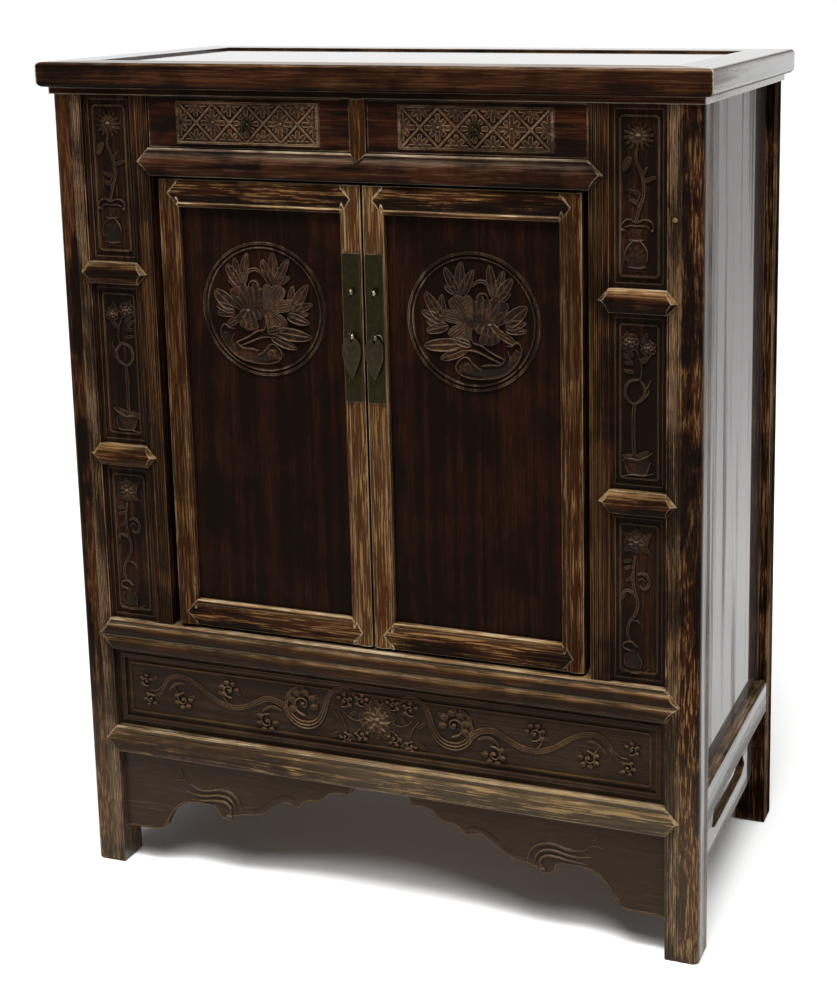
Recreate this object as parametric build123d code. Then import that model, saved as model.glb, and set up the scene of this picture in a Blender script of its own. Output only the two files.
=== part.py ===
from build123d import *
import os

# A two-door, two-drawer lacquered cabinet. Millimetres, +Z up, front towards -Y,
# origin on the floor under the middle of the cabinet.
os.makedirs("parts", exist_ok=True)

# Overall size, measured over the posts
cabinet_height = 1000.0
body_width = 780.0
body_depth = 392.0

# Top: a mitred frame with a floating panel and a stepped moulding under its edge
top_overhang = 12.0
top_thickness = 29.0
top_member_width = 52.0
top_upper_round = 5.0
top_lower_round = 7.0
moulding_height = 8.0
moulding_projection = 2.0
top_panel_thickness = 11.0
top_panel_recess = 2.5
top_tongue_thickness = 5.0

# Posts
post_width = 39.0
post_depth = 40.0
post_corner_round = 8.0
post_tenon_size = 18.0
post_tenon_length = 20.0
reed_count = 3
reed_pitch = 4.6
reed_groove = 1.6
foot_bevel = 1.5

# Rails across the front, with pointed shoulders that lap the posts and jambs
rail_lap = 11.0
rail_point = 16.0
rail_hip_angle = 50.0
rail_tenon_length = 14.0
rail_tenon_inset = 6.0
bottom_rail_height = 34.0
bottom_rail_depth = 30.0
bottom_rail_underside = 150.0
sill_rail_height = 40.0
sill_rail_depth = 32.0
lower_panel_opening = 101.0
drawer_rail_height = 32.0
drawer_rail_depth = 32.0
drawer_opening_height = 60.0
rail_bow = 3.5
bead_width = 5.0
bead_rise = 2.0
band_gap = 1.2

# Jambs, mullion and the short cross rails of the side columns
column_width = 64.0
jamb_width = 22.0
jamb_depth = 26.0
jamb_setback = 1.0
mullion_width = 19.0
mullion_depth = 27.0
mullion_bow = 4.0
column_rail_height = 26.0
column_rail_depth = 24.0
column_rail_point = 12.0
column_rail_bow = 5.0
column_rail_proud = 1.0
column_opening_count = 3

# Carved panels: board, perimeter moulding and the raised line round the field
panel_thickness = 8.0
panel_tongue = 4.0
column_panel_setback = 8.0
column_moulding_width = 6.0
column_moulding_rise = 3.0
field_margin_side = 10.0
field_margin_end = 12.0
field_line_width = 1.8
field_line_rise = 2.0
field_corner_round = 5.0
lower_frame_width = 12.0
lower_frame_thickness = 12.0
lower_frame_setback = 8.0
lower_bead_width = 5.0
lower_bead_rise = 2.0
lower_panel_setback = 10.0

# Front apron, two halves. Its lower edge is a row of arcs, each given by a point on it and its end,
# as shares of the half's length from the middle gap and of its drop below the rail.
apron_thickness = 14.0
apron_setback = 9.0
apron_tongue = 6.0
apron_middle_gap = 66.0
apron_drop = 103.0
apron_first_step = (0.025, 0.15)
apron_scallops = [
    ((0.066, 0.148), (0.110, 0.184)), ((0.138, 0.267), (0.186, 0.296)), ((0.213, 0.335), (0.236, 0.422)),
    ((0.282, 0.380), (0.333, 0.417)), ((0.384, 0.549), (0.462, 0.617)), ((0.509, 0.650), (0.553, 0.714)),
    ((0.579, 0.675), (0.587, 0.592)), ((0.660, 0.555), (0.752, 0.646)), ((0.799, 0.790), (0.827, 0.955)),
    ((0.858, 0.990), (0.896, 1.0)),
]

# Sides
side_panel_recess = 12.0
side_rail_underside = 157.0
side_rail_height = 41.0
side_rail_thickness = 24.0
side_rail_bevel = 3.0
side_rail_tenon = 14.0
side_apron_thickness = 10.0
side_apron_drop = 80.0
side_apron_rise_length = 64.0
side_apron_rise = 26.0
slot_length = 174.0
slot_height = 42.0
slot_floor_height = 27.0
slot_cusp = 17.0

# Back
back_recess = 18.0
back_rail_thickness = 24.0
back_rail_height = 34.0
back_rail_underside = 157.0
back_tenon = 10.0

# Inside boards
floor_thickness = 12.0
floor_below_sill = 8.0
bottom_board_thickness = 10.0
bottom_board_inset = 22.0
shelf_thickness = 12.0
shelf_above_floor = 273.0
shelf_housing = 3.0
shelf_corner_width = 40.0
shelf_corner_depth = 22.0
door_stop_gap = 0.5
dust_board_thickness = 10.0
guide_height = 40.0
guide_width = 12.0

# Doors
door_gap = 3.5
door_side_gap = 9.0
door_meeting_gap = 3.0
door_setback = 5.0
door_thickness = 20.0
stile_width = 25.0
door_rail_height = 32.0
door_rail_point = 15.0
door_rail_lap = 8.0
door_bow = 2.0
door_bead_width = 5.0
door_bead_rise = 1.4
door_tongue = 5.0
door_panel_setback = 6.0
pivot_inset = 10.0
pivot_radius = 6.0
pivot_length = 13.0
pivot_clearance = 0.3
medallion_radius = 78.0
medallion_line = 2.4
medallion_inner_radius = 72.5
medallion_inner_line = 1.4
medallion_rise = 2.0
medallion_drop = 147.5

# Door hardware
plate_margin = 1.5
plate_length = 170.0
plate_thickness = 1.5
plate_seat = 1.0
plate_drop = 76.5
plate_corner = 2.0
eye_radius = 4.0
eye_wire = 1.3
eye_sink = 0.8
upper_eye_drop = 43.0
lower_eye_drop = 94.0
leaf_width = 22.0
leaf_length = 48.0
leaf_thickness = 1.4
leaf_hole_radius = 2.2
leaf_rim = 2.0
leaf_shoulder_share = 0.27
leaf_flank_share = 0.46

# Drawers
drawer_gap = 1.2
drawer_setback = 3.0
drawer_front_thickness = 14.0
drawer_side_thickness = 9.0
drawer_side_height = 44.0
drawer_box_inset = 2.0
drawer_bottom_thickness = 6.0
drawer_bottom_lift = 4.0
drawer_run_gap = 0.3
drawer_end_gap = 0.5
lattice_side_margin = 37.5
lattice_end_margin = 4.8
lattice_rise = 1.0
lattice_frame_width = 2.4
lattice_frame_rise = 2.0
ring_plate_width = 11.0
ring_plate_height = 13.0
ring_plate_thickness = 1.0
ring_eye_radius = 2.6
ring_eye_wire = 0.9
ring_radius = 6.0
ring_wire = 1.0
ring_drop = 0.4

# Places worked out from the sizes above
half_width = body_width / 2
half_depth = body_depth / 2
front_y = -half_depth
post_inner_x = half_width - post_width
post_inner_y = half_depth - post_depth
body_top = cabinet_height - top_thickness - moulding_height
bottom_rail_top = bottom_rail_underside + bottom_rail_height
sill_underside = bottom_rail_top + lower_panel_opening
sill_top = sill_underside + sill_rail_height
drawer_rail_top = body_top - drawer_opening_height
drawer_rail_underside = drawer_rail_top - drawer_rail_height
jamb_outer_x = post_inner_x - column_width
jamb_inner_x = jamb_outer_x - jamb_width
jamb_front = front_y + jamb_setback
side_panel_x = half_width - side_panel_recess
side_panel_inner_x = side_panel_x - panel_thickness
side_rail_top = side_rail_underside + side_rail_height
back_panel_y = half_depth - back_recess
back_panel_inner_y = back_panel_y - panel_thickness
back_rail_top = back_rail_underside + back_rail_height
floor_top = sill_top - floor_below_sill
shelf_low = floor_top + shelf_above_floor
back_middle_low = shelf_low - back_rail_height
door_front = front_y + door_setback
door_back = door_front + door_thickness
door_low = sill_top + door_gap
door_high = drawer_rail_underside - door_gap
door_outer_x = jamb_inner_x - door_side_gap
door_inner_x = door_meeting_gap / 2
pivot_x = door_outer_x - pivot_inset
pivot_y = (door_front + door_back) / 2
medallion_z = door_high - medallion_drop
plate_x = door_inner_x + stile_width / 2
plate_width = stile_width - 2 * plate_margin
plate_high = door_high - plate_drop
upper_eye_z = plate_high - upper_eye_drop
lower_eye_z = plate_high - lower_eye_drop
plate_back = door_front - door_bow + plate_seat
plate_front = plate_back - plate_thickness
eye_y = plate_front - eye_radius - eye_wire + eye_sink
drawer_inner_x = mullion_width / 2 + drawer_gap
drawer_outer_x = jamb_inner_x - drawer_gap
drawer_mid_x = (drawer_inner_x + drawer_outer_x) / 2
drawer_front_y = front_y + drawer_setback
drawer_low = drawer_rail_top + drawer_gap
drawer_high = body_top - drawer_gap
drawer_mid_z = (drawer_low + drawer_high) / 2
lattice_width = drawer_outer_x - drawer_inner_x - 2 * lattice_side_margin
lattice_height = drawer_high - drawer_low - 2 * lattice_end_margin
ring_eye_y = drawer_front_y - lattice_rise - ring_plate_thickness - ring_eye_radius
drawer_box_low = drawer_rail_top + drawer_run_gap


def block(x0, x1, y0, y1, z0, z1):
    """A box between two corners."""
    middle = ((x0 + x1) / 2, (y0 + y1) / 2, (z0 + z1) / 2)
    return Pos(*middle) * Box(abs(x1 - x0), abs(y1 - y0), abs(z1 - z0))


def upright(outline, y0, y1, taper=0.0):
    """An outline drawn in X and Z, standing from y0 at the back to y1 at the front."""
    base = Plane(origin=(0, y0, 0), x_dir=(1, 0, 0), z_dir=(0, -1, 0))
    return extrude(base * outline, amount=y0 - y1, taper=taper)


def outline_of(points):
    return make_face(Polyline(*points, close=True))


def banded_section(width, depth, bands):
    """A section with its face on the first axis and its body behind; each band is a bowed strip."""
    section = Pos(width / 2, depth / 2) * Rectangle(width, depth)
    for start, end, rise in bands:
        bow = ThreePointArc((start, 0), ((start + end) / 2, -rise), (end, 0))
        section += make_face(bow + Line((end, 0), (start, 0)))
    return section


def stick_along_x(section, x0, x1, face_y, low):
    """A banded section laid along X, its bands counted upwards from the low edge."""
    end = Plane(origin=(x1, face_y, low), x_dir=(0, 0, 1), z_dir=(-1, 0, 0))
    return extrude(end * section, amount=x1 - x0)


def stick_along_z(section, x0, face_y, low, high):
    """A banded section stood along Z, its bands counted from x0."""
    end = Plane(origin=(x0, face_y, low), x_dir=(1, 0, 0), z_dir=(0, 0, 1))
    return extrude(end * section, amount=high - low)


def two_band_rail(height, bow):
    """A broad bowed band with a narrow bead along its top."""
    split = height - bead_width - band_gap
    return [(0, split, bow), (height - bead_width, height, bead_rise)]


def pointed_rail(shoulder_left, shoulder_right, point, low, height, face_y, depth, lap, bands, tenon):
    """A rail whose front laps its neighbours with pointed ends, and whose body fits between them."""
    middle, high = low + height / 2, low + height
    tip_left, tip_right = shoulder_left - point, shoulder_right + point
    pointed = outline_of([
        (tip_left, middle), (shoulder_left, high), (shoulder_right, high),
        (tip_right, middle), (shoulder_right, low), (shoulder_left, low),
    ])
    proud = max(rise for _, _, rise in bands) + 1
    shape = upright(pointed, face_y + lap, face_y)
    shape += upright(pointed, face_y, face_y - proud, taper=90 - rail_hip_angle)
    front = stick_along_x(banded_section(height, lap, bands), tip_left, tip_right, face_y, low)
    rail = front & shape
    rail += block(shoulder_left, shoulder_right, face_y + lap, face_y + depth, low, high)
    if tenon:
        rail += block(shoulder_left - tenon, shoulder_right + tenon, face_y + lap + rail_tenon_inset,
                      face_y + depth - rail_tenon_inset, low + rail_tenon_inset, high - rail_tenon_inset)
    return rail


def rounded_loop(width, height, line, corner):
    """A raised line round a field, as a flat ring."""
    inner = RectangleRounded(width - 2 * line, height - 2 * line, corner - line)
    return RectangleRounded(width, height, corner) - inner


def mirrored(shape):
    return mirror(shape, about=Plane.YZ)


def post(side, end):
    """One corner post; side is -1 left or 1 right, end is -1 front or 1 back."""
    section = Pos(half_width - post_width / 2, half_depth - post_depth / 2) * Rectangle(post_width, post_depth)
    section = fillet(section.vertices().sort_by(lambda v: v.X + v.Y)[-1], post_corner_round)
    for i in range(reed_count):
        offset = reed_pitch * (i + 1)
        groove = Rot(0, 0, 45) * Rectangle(reed_groove, reed_groove)
        section -= Pos(post_inner_x + offset, half_depth) * groove
        section -= Pos(half_width, post_inner_y + offset) * groove
    solid = extrude(section, amount=body_top)
    solid = chamfer(solid.edges().group_by(Axis.Z)[0], foot_bevel)
    middle = Pos(half_width - post_width / 2, half_depth - post_depth / 2, body_top + post_tenon_length / 2)
    solid += middle * Box(post_tenon_size, post_tenon_size, post_tenon_length)
    if side < 0:
        solid = mirror(solid, about=Plane.YZ)
    if end < 0:
        solid = mirror(solid, about=Plane.XZ)
    return solid


def top_profile():
    """Section of a top member: distance in from the outer edge, and height above the body."""
    face = Rectangle(top_member_width, top_thickness)
    face = Pos(top_member_width / 2, moulding_height + top_thickness / 2) * face
    nose = face.vertices().sort_by(Axis.X)[:2].sort_by(Axis.Y)
    face = fillet(nose[1], top_upper_round)
    lower = face.vertices().sort_by(Axis.Y)[:2].sort_by(Axis.X)[0]
    face = fillet(lower, top_lower_round)
    step = top_overhang - moulding_projection
    ledge = Rectangle(top_member_width - step, moulding_height)
    return face + Pos((step + top_member_width) / 2, moulding_height / 2) * ledge


def top_members():
    """The four mitred members, in the order front, back, left, right."""
    reach_x, reach_y = half_width + top_overhang, half_depth + top_overhang
    inner_x, inner_y = reach_x - top_member_width, reach_y - top_member_width
    profile = top_profile()
    along_x = extrude(Plane(origin=(-reach_x, -reach_y, body_top), x_dir=(0, 1, 0), z_dir=(1, 0, 0)) * profile,
                      amount=2 * reach_x)
    along_y = extrude(Plane(origin=(reach_x, -reach_y, body_top), x_dir=(-1, 0, 0), z_dir=(0, 1, 0)) * profile,
                      amount=2 * reach_y)
    full_height = cabinet_height - body_top
    front_mitre = outline_of([(-reach_x, -reach_y), (reach_x, -reach_y), (inner_x, -inner_y),
                              (-inner_x, -inner_y)])
    right_mitre = outline_of([(reach_x, -reach_y), (reach_x, reach_y), (inner_x, inner_y), (inner_x, -inner_y)])
    front = along_x & extrude(Pos(0, 0, body_top) * front_mitre, amount=full_height)
    right = along_y & extrude(Pos(0, 0, body_top) * right_mitre, amount=full_height)
    return [front, mirror(front, about=Plane.XZ), mirrored(right), right]


def top_panel():
    inner_x = half_width + top_overhang - top_member_width
    inner_y = half_depth + top_overhang - top_member_width
    face = cabinet_height - top_panel_recess
    low = face - top_panel_thickness
    board = block(-inner_x, inner_x, -inner_y, inner_y, low, face)
    reach_x, reach_y = inner_x + panel_tongue, inner_y + panel_tongue
    return board + block(-reach_x, reach_x, -reach_y, reach_y, low, low + top_tongue_thickness)


def jamb():
    section = Pos(jamb_width / 2, jamb_depth / 2) * Rectangle(jamb_width, jamb_depth)
    for i in range(1, reed_count + 1):
        groove = Rot(0, 0, 45) * Rectangle(reed_groove, reed_groove)
        section -= Pos(reed_pitch * i, 0) * groove
    return stick_along_z(section, jamb_inner_x, jamb_front, sill_top, body_top)


def mullion():
    """The upright between the drawers, its foot pointed where it laps the drawer rail."""
    half = mullion_width / 2
    section = banded_section(mullion_width, mullion_depth, [(0, mullion_width, mullion_bow)])
    stick = stick_along_z(section, -half, front_y, drawer_rail_top - half, body_top)
    foot = outline_of([(-half, body_top), (-half, drawer_rail_top), (0, drawer_rail_top - half),
                       (half, drawer_rail_top), (half, body_top)])
    lapped = upright(foot, front_y + rail_lap, front_y - mullion_bow)
    seated = block(-half, half, front_y + rail_lap, front_y + mullion_depth, drawer_rail_top, body_top)
    return stick & (lapped + seated)


def column_levels():
    """Underside heights of the cross rails, evenly spaced up the column."""
    gaps = column_opening_count
    free = body_top - sill_top - (gaps - 1) * column_rail_height
    opening = free / gaps
    return opening, [sill_top + opening * (i + 1) + column_rail_height * i for i in range(gaps - 1)]


def column_panel(low, high):
    """A carved panel of the right side column between two heights."""
    left, right = jamb_outer_x, post_inner_x
    face = front_y + column_panel_setback
    board = block(left - panel_tongue, right + panel_tongue, face, face + panel_thickness,
                  low - panel_tongue, high + panel_tongue)
    middle = Pos((left + right) / 2, (low + high) / 2)
    width, height = right - left, high - low
    edge = Rectangle(width, height)
    edge -= Rectangle(width - 2 * column_moulding_width, height - 2 * column_moulding_width)
    line = rounded_loop(width - 2 * field_margin_side, height - 2 * field_margin_end, field_line_width,
                        field_corner_round)
    board += upright(middle * edge, face, face - column_moulding_rise)
    board += upright(middle * line, face, face - field_line_rise)
    return board


def lower_frame():
    """Four mitred strips with a raised inner bead, round the long carved panel."""
    x, z0, z1, w = post_inner_x, bottom_rail_top, sill_underside, lower_frame_width
    face = front_y + lower_frame_setback
    strips = []
    for inset, width, front in [(0, w, face), (w - lower_bead_width, lower_bead_width, face - lower_bead_rise)]:
        a, low, high = x - inset, z0 + inset, z1 - inset
        b, low_in, high_in = a - width, low + width, high - width
        corners = [(-a, low), (a, low), (a, high), (-a, high)]
        inner = [(-b, low_in), (b, low_in), (b, high_in), (-b, high_in)]
        layer = []
        for i in range(4):
            j = (i + 1) % 4
            strip = outline_of([corners[i], corners[j], inner[j], inner[i]])
            layer.append(upright(strip, face + lower_frame_thickness, front))
        strips.append(layer)
    return [base + bead for base, bead in zip(*strips)]


def lower_panel():
    x = post_inner_x - lower_frame_width
    low, high = bottom_rail_top + lower_frame_width, sill_underside - lower_frame_width
    face = front_y + lower_panel_setback
    board = block(-x - panel_tongue, x + panel_tongue, face, face + panel_thickness,
                  low - panel_tongue, high + panel_tongue)
    line = rounded_loop(2 * x - field_margin_end, high - low - field_margin_end, field_line_width,
                        field_corner_round)
    board += upright(Pos(0, (low + high) / 2) * line, face, face - field_line_rise)
    return board


def apron():
    """The right half of the front apron, with a tongue into the rail above it."""
    top = bottom_rail_underside
    start, end = apron_middle_gap / 2, post_inner_x
    face = front_y + apron_setback

    def place(share):
        return start + share[0] * (end - start), top - share[1] * apron_drop

    here = place(apron_first_step)
    edge = Line((start, top), here)
    for through, finish in apron_scallops:
        edge += ThreePointArc(here, place(through), place(finish))
        here = place(finish)
    edge += Polyline(here, (end, top - apron_drop), (end, top), (start, top))
    board = upright(make_face(edge), face + apron_thickness, face)
    tongue_front = face + apron_tongue / 2
    tongue_back = face + apron_thickness - apron_tongue / 2
    board += block(start + apron_tongue, end, tongue_front, tongue_back, top, top + apron_tongue)
    return board


def side_rail():
    """The lower rail of the right side, its upper outer edge bevelled."""
    inner = half_width - side_rail_thickness
    rail = block(inner, half_width, -post_inner_y, post_inner_y, side_rail_underside, side_rail_top)
    upper_edge = rail.edges().filter_by(Axis.Y).sort_by(lambda e: e.center().X + e.center().Z)[-1]
    rail = chamfer(upper_edge, side_rail_bevel)
    reach = post_inner_y + side_rail_tenon
    rail += block(inner + rail_tenon_inset, half_width - rail_tenon_inset, -reach, reach,
                  side_rail_underside + rail_tenon_inset, side_rail_top - rail_tenon_inset)
    return rail


def side_panel():
    reach = post_inner_y + panel_tongue
    return block(side_panel_inner_x, side_panel_x, -reach, reach,
                 side_rail_top - panel_tongue, body_top + panel_tongue)


def side_apron():
    """The board under the side rail: a long cusped slot, and a lower edge that rises to the rear post."""
    top = side_rail_underside
    low = top - side_apron_drop
    end = post_inner_y
    start = end - side_apron_rise_length
    rise = ThreePointArc((start, low), (start + side_apron_rise_length * 0.62, low + side_apron_rise * 0.34),
                         (end, low + side_apron_rise))
    edge = Polyline((end, low + side_apron_rise), (end, top), (-end, top), (-end, low), (start, low))
    outline = make_face(rise + edge)
    half = slot_length / 2
    floor = low + slot_floor_height
    shoulder = floor + slot_height * 0.18
    hip = floor + slot_height * 0.62
    ceiling = floor + slot_height
    right_end = [(half - slot_cusp, floor), (half, shoulder), (half - slot_cusp * 0.7, hip),
                 (half - slot_cusp * 1.7, ceiling)]
    left_end = [(-y, z) for y, z in reversed(right_end)]
    slot = outline_of(right_end + left_end)
    base = Plane(origin=(side_panel_x - side_apron_thickness, 0, 0), x_dir=(0, 1, 0), z_dir=(1, 0, 0))
    return extrude(base * (outline - slot), amount=side_apron_thickness)


def back_rails():
    rails = []
    for low in (back_rail_underside, back_middle_low):
        high = low + back_rail_height
        rail = block(-post_inner_x, post_inner_x, back_panel_inner_y - back_rail_thickness / 4,
                     back_panel_inner_y + back_rail_thickness * 3 / 4, low, high)
        reach = post_inner_x + back_tenon
        rails.append(rail + block(-reach, reach, back_panel_inner_y, back_panel_y,
                                  low + rail_tenon_inset, high - rail_tenon_inset))
    return rails


def back_boards():
    reach = post_inner_x + panel_tongue
    lower = block(-reach, reach, back_panel_inner_y, back_panel_y, back_rail_top - panel_tongue,
                  back_middle_low + panel_tongue)
    upper = block(-reach, reach, back_panel_inner_y, back_panel_y,
                  back_middle_low + back_rail_height - panel_tongue, body_top + panel_tongue)
    return [lower, upper]


def post_blocks():
    """The space of the four posts, for notching the inside boards."""
    blocks = []
    for sx in (-1, 1):
        for sy in (-1, 1):
            blocks.append(block(sx * post_inner_x, sx * half_width, sy * post_inner_y, sy * half_depth,
                                0, body_top))
    return blocks


def inside_board(x, y_front, low, high):
    """A board that fills the body from a line behind the front to the back panel, notched at the posts."""
    board = block(-x, x, y_front, back_panel_inner_y, low, high)
    for corner in post_blocks():
        board -= corner
    return board


def shelf():
    front = door_back + door_stop_gap
    x = side_panel_inner_x + shelf_housing
    board = inside_board(x, front, shelf_low, shelf_low + shelf_thickness)
    clear = jamb_inner_x - shelf_corner_width
    for sx in (-1, 1):
        board -= block(sx * clear, sx * (x + 1), front - 1, front + shelf_corner_depth,
                       shelf_low - 1, shelf_low + shelf_thickness + 1)
    return board


def drawer_guides():
    start = front_y + mullion_depth
    high = drawer_rail_top + guide_height
    half = mullion_width / 2
    side = block(jamb_inner_x, jamb_inner_x + guide_width, jamb_front + jamb_depth, back_panel_inner_y,
                 drawer_rail_top, high)
    return [block(-half, half, start, back_panel_inner_y, drawer_rail_top, high), side, mirrored(side)]


def pivot(radius, start, length, clearance=0.0):
    """A turned pivot on the door's axis, or with a clearance, the socket that holds it."""
    return Pos(pivot_x, pivot_y, start + length / 2) * Cylinder(radius + clearance, length + 2 * clearance)


def door_rail(low):
    bands = [(0, door_rail_height - door_bead_width - band_gap, door_bow),
             (door_rail_height - door_bead_width, door_rail_height, door_bead_rise)]
    if low > (door_low + door_high) / 2:
        bands = [(door_rail_height - end, door_rail_height - start, rise) for start, end, rise in bands]
    left, right = door_inner_x + stile_width, door_outer_x - stile_width
    rail = pointed_rail(left, right, door_rail_point, low, door_rail_height, door_front, door_thickness,
                        door_rail_lap, bands, 0)
    reach = door_rail_point
    third = door_thickness / 4
    rail += block(left - reach, right + reach, door_front + door_rail_lap + third / 2, door_back - third,
                  low + rail_tenon_inset, low + door_rail_height - rail_tenon_inset)
    return rail


def stile_bands(outer_first):
    bands = [(0, stile_width - door_bead_width - band_gap, door_bow),
             (stile_width - door_bead_width, stile_width, door_bead_rise)]
    if outer_first:
        return bands
    return [(stile_width - end, stile_width - start, rise) for start, end, rise in bands]


def door_panel():
    left, right = door_inner_x + stile_width, door_outer_x - stile_width
    low, high = door_low + door_rail_height, door_high - door_rail_height
    face = door_front + door_panel_setback
    board = block(left - door_tongue, right + door_tongue, face, face + panel_thickness,
                  low - door_tongue, high + door_tongue)
    centre = Pos((left + right) / 2, medallion_z)
    rings = Circle(medallion_radius) - Circle(medallion_radius - medallion_line)
    rings += Circle(medallion_inner_radius) - Circle(medallion_inner_radius - medallion_inner_line)
    return board + upright(centre * rings, face, face - medallion_rise)


def eye(x, y, z, radius, wire):
    """A wire loop standing in the vertical plane that runs front to back."""
    return Pos(x, y, z) * (Rot(0, 90, 0) * Torus(radius, wire))


def door_plate():
    blank = RectangleRounded(plate_width, plate_length, plate_corner)
    plate = upright(Pos(plate_x, plate_high - plate_length / 2) * blank, plate_back, plate_front)
    for height in (upper_eye_z, lower_eye_z):
        plate += eye(plate_x, eye_y, height, eye_radius, eye_wire)
    return plate


def leaf_pull():
    """A shield-shaped leaf that hangs from the lower eye and swings about the middle of that eye."""
    hole_z = lower_eye_z - eye_radius
    top = hole_z + leaf_hole_radius + leaf_rim
    half = leaf_width / 2
    shoulder = top - leaf_length * leaf_shoulder_share
    flank = top - leaf_length * leaf_flank_share
    tip = top - leaf_length
    crown = ThreePointArc((0, top), (half * 0.74, top - (top - shoulder) * 0.36), (half, shoulder))
    side = Line((half, shoulder), (half, flank))
    point = ThreePointArc((half, flank), (half * 0.62, flank - (flank - tip) * 0.48), (0, tip))
    half_outline = make_face(crown + side + point + Line((0, tip), (0, top)))
    leaf = half_outline + mirror(half_outline, about=Plane.YZ)
    leaf -= Pos(0, hole_z) * Circle(leaf_hole_radius)
    return upright(Pos(plate_x, 0) * leaf, eye_y + leaf_thickness / 2, eye_y - leaf_thickness / 2)


def drawer_front():
    face = drawer_front_y
    front = block(drawer_inner_x, drawer_outer_x, face, face + drawer_front_thickness, drawer_low, drawer_high)
    middle = Pos(drawer_mid_x, drawer_mid_z)
    front += upright(middle * Rectangle(lattice_width, lattice_height), face, face - lattice_rise)
    frame = Rectangle(lattice_width, lattice_height)
    frame -= Rectangle(lattice_width - 2 * lattice_frame_width, lattice_height - 2 * lattice_frame_width)
    return front + upright(middle * frame, face, face - lattice_frame_rise)


def drawer_box():
    """Two sides, a back and a bottom, butted to the front."""
    start = drawer_front_y + drawer_front_thickness
    end = back_panel_inner_y - drawer_end_gap
    left, right = drawer_inner_x + drawer_box_inset, drawer_outer_x - drawer_box_inset
    low, high = drawer_box_low, drawer_box_low + drawer_side_height
    t = drawer_side_thickness
    sides = [block(left, left + t, start, end, low, high), block(right - t, right, start, end, low, high)]
    back = block(left + t, right - t, end - t, end, low, high)
    bottom_low = low + drawer_bottom_lift
    bottom = block(left + t, right - t, start, end - t, bottom_low, bottom_low + drawer_bottom_thickness)
    return sides + [back, bottom]


def ring_plate():
    back = drawer_front_y - lattice_rise
    front = back - ring_plate_thickness
    blank = Pos(drawer_mid_x, drawer_mid_z) * RectangleRounded(ring_plate_width, ring_plate_height, 2)
    plate = upright(blank, back, front)
    return plate + eye(drawer_mid_x, ring_eye_y, drawer_mid_z, ring_eye_radius, ring_eye_wire)


def pull_ring():
    """A ring hanging flat, its top wire lying in the eye."""
    wire_z = drawer_mid_z - ring_drop
    return Pos(drawer_mid_x, ring_eye_y, wire_z - ring_radius) * (Rot(90, 0, 0) * Torus(ring_radius, ring_wire))


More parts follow.
